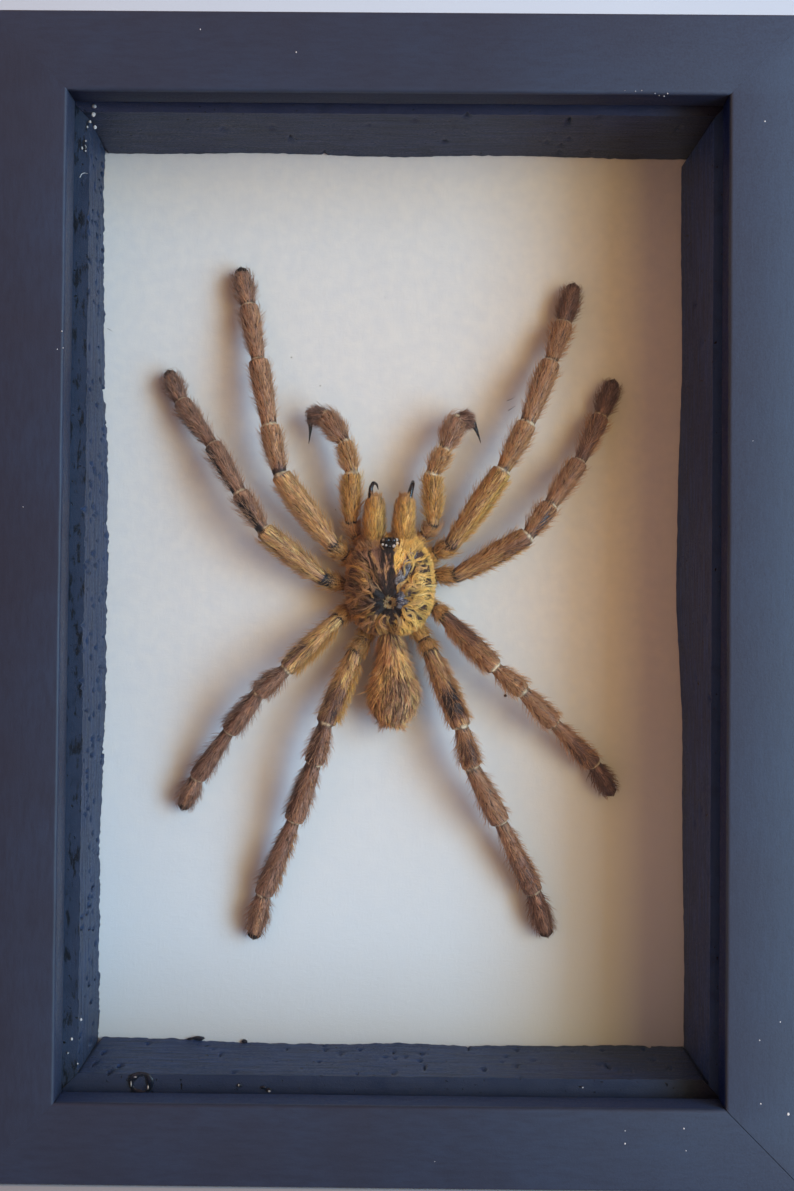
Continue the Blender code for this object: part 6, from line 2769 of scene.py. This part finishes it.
@dataclass
class Traces:
    """Dust on the rails, dry glue in the corners, stray fibres and grains on the paper, and pale painted
    glints on the black glue.
    """

    layout: Layout
    dust: tuple[tuple[float, float, float], ...] = (
        (-28.5, 81.0, 0.12), (-14.7, 77.8, 0.15), (52.4, 68.3, 0.15), (33.3, -77.0, 0.15), (33.3, -75.2, 0.1),
        (27.3, -69.2, 0.09), (41.6, -74.8, 0.14), (41.9, -77.9, 0.1), (-47.8, 37.4, 0.1), (-47.6, 35.0, 0.09),
        (-48.4, 34.8, 0.1), (38.0, 71.8, 0.09), (38.5, 72.2, 0.1), (56.3, -72.6, 0.26), (55.1, -59.7, 0.12),
        (52.2, -62.3, 0.12), (52.4, -71.2, 0.13), (-53.0, 12.2, 0.07), (50.9, 22.5, 0.07), (6.5, -79.8, 0.07),
        (33.9, 72.5, 0.07), (34.8, 72.6, 0.06), (32.4, 72.6, 0.05), (36.7, 72.2, 0.08), (37.3, 71.9, 0.07),
    )
    grains: tuple[tuple[float, float, float], ...] = (
        (18.0, -15.6, 0.24), (-17.2, 39.1, 0.09), (-12.5, 34.5, 0.08), (-9.8, 14.3, 0.08), (-2.0, 49.0, 0.05),
        (22.6, -43.0, 0.05), (-31.4, -28.0, 0.05), (-26.5, -59.0, 0.06),
    )
    # The pale glue beads' colour is partly painted highlight.
    beads_and_glints: tuple[Crumb, ...] = (
        Crumb(-45.4, 72.7, 7.15, (0.36, 0.3, 0.3)), Crumb(-45.5, 71.5, 7.2, (0.28, 0.3, 0.36)),
        Crumb(-46.0, 70.4, 7.2, (0.2, 0.2, 0.24)), Crumb(-45.3, 69.6, 7.3, (0.26, 0.3, 0.3)),
        Crumb(-46.4, 69.6, 7.2, (0.16, 0.2, 0.18)), Crumb(-47.1, 66.4, 7.1, (0.14, 0.2, 0.22)),
        Crumb(-46.6, 66.0, 7.2, (0.12, 0.2, 0.12)), Crumb(-46.6, 67.5, 7.2, (0.12, 0.2, 0.14)),
        Crumb(-45.8, -63.0, 8.0, (0.2, 0.2, 0.26)), Crumb(-46.9, -65.6, 7.2, (0.16, 0.2, 0.24)),
        Crumb(-47.4, -67.6, 7.0, (0.14, 0.2, 0.16)), Crumb(-46.1, -69.3, 7.4, (0.16, 0.2, 0.14)),
        Crumb(-38.0, -71.9, 6.75, (0.1, 0.08, 0.42)), Crumb(-35.5, -72.4, 6.75, (0.12, 0.08, 0.3)),
        # The last five are pale painted glints on the black glue ring and its dabs.
        Crumb(-37.4, -70.9, 6.75, (0.22, 0.08, 0.08)), Crumb(-17.7, -72.8, 6.85, (0.2, 0.08, 0.14)),
        Crumb(-22.2, -72.0, 6.9, (0.08, 0.06, 0.16)),
    )
    ring_place: Triple = (-36.6, -72.0, 7.05)
    ring_radius: float = 1.45
    ring_thickness: float = 0.42
    glass_dabs: tuple[tuple[float, float], ...] = ((-17.8, -72.7), (-22.1, -72.1), (-18.6, -72.4))
    paper_dabs: tuple[Triple, ...] = ((-31.1, -71.25, 1.1), (-32.3, -71.5, 0.7), (-23.6, -71.7, 0.5))

    def pebble(self, bm: BMesh, crumb: Crumb, seed: int) -> None:
        """Adds an uneven grain.

        Args:
            bm: Where it goes.
            crumb: Its place and size.
            seed: The seed of its shape.
        """
        grown = bmesh.ops.create_icosphere(bm, subdivisions=2, radius=MM)
        for vert in grown["verts"]:
            vert.co *= 1.0 + 0.3 * noise.noise(vert.co * 1100 + Vector((seed, 0.0, 0.0)))
        place = self.layout.on_face(crumb.x, crumb.z, crumb.depth)
        matrix = Matrix.Translation(place) @ Matrix.Diagonal((*crumb.size, 1.0))
        bmesh.ops.transform(bm, matrix=matrix, verts=grown["verts"])

    def scatter(self, bm: BMesh, crumbs: Sequence[Crumb], seed: int) -> BMesh:
        """Adds grains, each shaped by its own seed.

        Args:
            bm: Where they go.
            crumbs: Their places and sizes.
            seed: The seed of the first.

        Returns:
            The mesh.
        """
        for number, crumb in enumerate(crumbs):
            self.pebble(bm, crumb, seed + number)
        return bm

    def ring(self) -> Object:
        """The drop of black glue that was pressed to a ring against the glass, and the dabs beside it."""
        place = self.layout.on_face(*self.ring_place)
        turn, sides = np.linspace(0.0, FULL_TURN, 49), np.linspace(0.0, FULL_TURN, 13)
        radius = 1.0 + 0.12 * (Ripple(71, 12)(turn / FULL_TURN * 12, 0 * turn) - 0.5)
        rows = []
        for angle, far in zip(turn, radius):
            way = Vector((math.cos(angle), 0.0, math.sin(angle)))
            thick = self.ring_thickness * (1.0 + 0.35 * math.sin(3 * angle + 0.6))
            rows.append([place + way * (far * self.ring_radius + thick * math.cos(side)) * MM
                         + Vector((0.0, thick * 0.42 * math.sin(side), 0.0)) * MM for side in sides])
        points = np.array(rows)
        points[-1], points[:, -1] = points[0], points[:, 0]
        bm = shell(points, closed=False)
        bmesh.ops.remove_doubles(bm, verts=bm.verts[:], dist=1e-7)
        self.scatter(bm, [Crumb(x, z, 7.1, (0.42, 0.14, 0.3)) for x, z in self.glass_dabs], 90)
        self.scatter(bm, [Crumb(x, z, 24.6, (wide, 0.3, 0.4)) for x, z, wide in self.paper_dabs], 110)
        return solid(bm, "glue_ring", BLACK_GLUE, crease=80)

    def fibres(self, name: str, finish: Finish, slot: Slot, routes: Sequence[tuple], radius: float) -> None:
        """Several thin threads as one piece.

        Args:
            name: The piece's name.
            finish: Its finish.
            slot: Its slot; not used.
            routes: Places that each thread passes, in mm from the opening's middle and behind the face.
            radius: The threads' radius in mm.
        """
        bm = bmesh.new()
        thinning = np.interp(np.linspace(0.0, 1.0, 22), [0.0, 0.3, 1.0], [1.0, 1.0, 0.2])
        for route in routes:
            line = curved(np.array([tuple(self.layout.on_face(*place)) for place in route]), 22, 4)
            thread = settle(shell(ring_rows(line, thinning * radius * MM, 6)), name, 80)
            bm.from_mesh(thread)
            bpy.data.meshes.remove(thread)
        solid(bm, name, finish, crease=80)

    def build(self) -> None:
        """Dust, grains, glue and fibres."""
        dust = [Crumb(x, z, 0.06, (size * 0.75, 0.045, size * 0.95)) for x, z, size in self.dust]
        solid(self.scatter(bmesh.new(), dust, 0), "dust_specks", LINT)
        depth = (self.layout.paper_front - self.layout.low.y) / MM - 0.06
        grains = [Crumb(x, z, depth, (size, size * 0.6, size)) for x, z, size in self.grains]
        solid(self.scatter(bmesh.new(), grains, 40), "paper_grains", GRIT)
        solid(self.scatter(bmesh.new(), self.beads_and_glints, 70), "glue_beads_and_glints", GLUE)
        self.ring()
        self.fibres("pale_fibres", LINT, Slot.SPACER, (
            ((-47.4, 62.0, 7.1), (-47.1, 62.5, 7.0), (-46.7, 62.7, 7.1), (-46.2, 62.6, 7.2)),
            ((-46.7, 66.9, 7.2), (-46.5, 66.6, 7.1), (-46.6, 66.3, 7.2)),
        ), 0.05)
        lying = depth - 0.02
        self.fibres("shed_hairs", GRIT, Slot.PAPER, (
            ((17.9, 32.3, lying), (18.6, 32.5, lying - 0.2), (19.3, 33.0, lying)),
            ((18.1, 30.7, lying), (18.7, 31.0, lying - 0.2), (19.3, 31.5, lying)),
            ((-47.2, 43.5, lying - 0.3), (-46.7, 43.2, lying - 0.5), (-46.3, 43.0, lying - 0.3)),
        ), 0.035)


# ---------------------------------------------------------------- studio


@dataclass
class Studio:
    """Pale ground, window light from the right with a warm fill, and the camera."""

    layout: Layout
    image: tuple[int, int] = (794, 1191)
    focal_pixels: float = 1240.0
    camera_place: Triple = (1.322, -2.862, 176.282)
    camera_turn: Triple = (-0.946, 0.279, 0.517)
    sensor: float = 36.0
    window_turn: float = 41.6
    window_distance: float = 0.9
    window_panes: tuple[Triple, ...] = ((0.3, 0.9, 6.0), (0.62, 1.2, 6.7))
    window_colour: Triple = (0.36, 0.7, 1.0)
    glow_place: Triple = (0.265, -0.4, 0.03)
    glow_size: tuple[float, float] = (0.24, 0.24)
    glow_power: float = 0.89
    glow_colour: Triple = (1.0, 0.7, 0.2)
    fill_colour: Colour = (1.0, 0.55, 0.35, 1.0)
    fill_strength: float = 0.53
    sweep_place: Triple = (0.1, 0.08, 0.4)
    sweep_size: tuple[float, float] = (0.7, 0.3)
    sweep_power: float = 0.74
    sweep_colour: Triple = (0.8, 0.88, 0.88)
    ground_front: float = -1.6
    ground_back: float = 0.48
    ground_half: float = 3.2
    ground_high: float = 2.4
    ground_bend: float = 0.14
    ground_drop: float = 0.0002

    def place(self, made: Object, matrix: Matrix) -> Object:
        """Puts a camera or a lamp in the scene.

        Args:
            made: The camera or the lamp.
            matrix: Where it stands.

        Returns:
            The object.
        """
        made.matrix_world = matrix
        bpy.context.scene.collection.objects.link(made)
        return made

    def camera(self) -> None:
        """The camera, a little below and right of the middle of the opening."""
        data = bpy.data.cameras.new("view")
        data.sensor_width = self.sensor
        data.lens = self.focal_pixels * self.sensor / self.image[1]
        data.clip_start = 0.01
        right, up, distance = self.camera_place
        turns = [math.radians(turn) for turn in self.camera_turn]
        (cx, sx), (cy, sy), (cz, sz) = ((math.cos(turn), math.sin(turn)) for turn in turns)
        about_x = Matrix(((1, 0, 0), (0, cx, -sx), (0, sx, cx)))
        about_y = Matrix(((cy, 0, sy), (0, 1, 0), (-sy, 0, cy)))
        about_z = Matrix(((cz, -sz, 0), (sz, cz, 0), (0, 0, 1)))
        turn = about_x @ about_y @ about_z
        rightwards, downwards, ahead = (Vector((row[0], row[2], -row[1])) for row in turn)
        matrix = Matrix((rightwards, -downwards, -ahead)).transposed().to_4x4()
        matrix.translation = self.layout.on_face(right, up, -distance)
        bpy.context.scene.camera = self.place(bpy.data.objects.new("view", data), matrix)

    def lamp(self, name: str, place: Vector, aim: Vector, size: tuple[float, float], power: float,
             colour: Triple) -> Object:
        """Adds a soft rectangular light that faces a point.

        Args:
            name: Its name.
            place: Where it stands.
            aim: The point that it faces.
            size: Width and height in metres.
            power: Its power in watts.
            colour: Its linear colour.

        Returns:
            The lamp.
        """
        data = bpy.data.lights.new(name, "AREA")
        data.shape, data.size, data.size_y = "RECTANGLE", *size
        data.energy, data.color = power, colour
        turn = (aim - place).to_track_quat("-Z", "Y").to_matrix().to_4x4()
        return self.place(bpy.data.objects.new(name, data), Matrix.Translation(place) @ turn)

    def lights(self) -> None:
        """The window light, and the warm room round it."""
        centre = self.layout.centre
        turn = math.radians(self.window_turn)
        window = centre + Vector((math.cos(turn), -math.sin(turn), -0.04)) * self.window_distance
        for wide, high, power in self.window_panes:
            self.lamp("window", window, centre, (wide, high), power, self.window_colour)
        glow = centre + Vector(self.glow_place)
        lamp = self.lamp("warm_room", glow, centre, self.glow_size, self.glow_power, self.glow_colour)
        lamp.visible_glossy = False
        above = centre + Vector(self.sweep_place)
        backwards = above + Vector((0.0, 1.0, 0.0))
        self.lamp("sweep_light", above, backwards, self.sweep_size, self.sweep_power, self.sweep_colour)
        world = bpy.data.worlds.new("room")
        world.use_nodes = True
        room = world.node_tree.nodes["Background"]
        room.inputs["Color"].default_value = self.fill_colour
        room.inputs["Strength"].default_value = self.fill_strength
        bpy.context.scene.world = world

    def backdrop(self) -> None:
        """A pale floor that sweeps up behind the frame."""
        radius = self.ground_bend
        line = [(self.ground_front, 0.0), (self.ground_back - radius, 0.0)]
        for number in range(1, 9):
            turn = math.radians(90 * number / 8)
            across = self.ground_back - radius + radius * math.sin(turn)
            line.append((across, radius - radius * math.cos(turn)))
        line.append((self.ground_back, self.ground_high))
        bm = bmesh.new()
        verts = [bm.verts.new((-self.ground_half, y, z - self.ground_drop)) for y, z in line]
        edges = [bm.edges.new(pair) for pair in zip(verts, verts[1:])]
        for vert in new_verts(bmesh.ops.extrude_edge_only(bm, edges=edges)):
            vert.co.x = self.ground_half
        wrong = [face for face in bm.faces if face.normal.y > 0 or face.normal.z < 0]
        bmesh.ops.reverse_faces(bm, faces=wrong)
        mesh = settle(bm, "sweep", 180)
        mesh.materials.append(GROUND.material)
        made = self.place(bpy.data.objects.new("sweep", mesh), Matrix())
        made.visible_diffuse = made.visible_shadow = False

    def build(self) -> None:
        """Camera, lights and ground."""
        self.camera()
        self.lights()
        self.backdrop()
        bpy.context.scene.view_settings.view_transform = "Standard"


def corners(box: Sequence[Vector]) -> list[list[float]]:
    """A box as plain lists of numbers."""
    return [[float(value) for value in corner] for corner in box]


def main() -> None:
    """Builds the studio and then the specimen from the frame inwards."""
    logging.basicConfig(level=logging.INFO, format="%(message)s")
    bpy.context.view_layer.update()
    layout = Layout.read()
    for part in (Studio(layout), Moulding(layout), Spacers(layout), Sheets(layout), Fittings(layout),
                 WalkingLegs(layout), MouthParts(layout), Carapace(layout), Abdomen(layout), Traces(layout)):
        part.build()
        LOG.info("built %s", type(part).__name__)


if __name__ == "__main__":
    main()
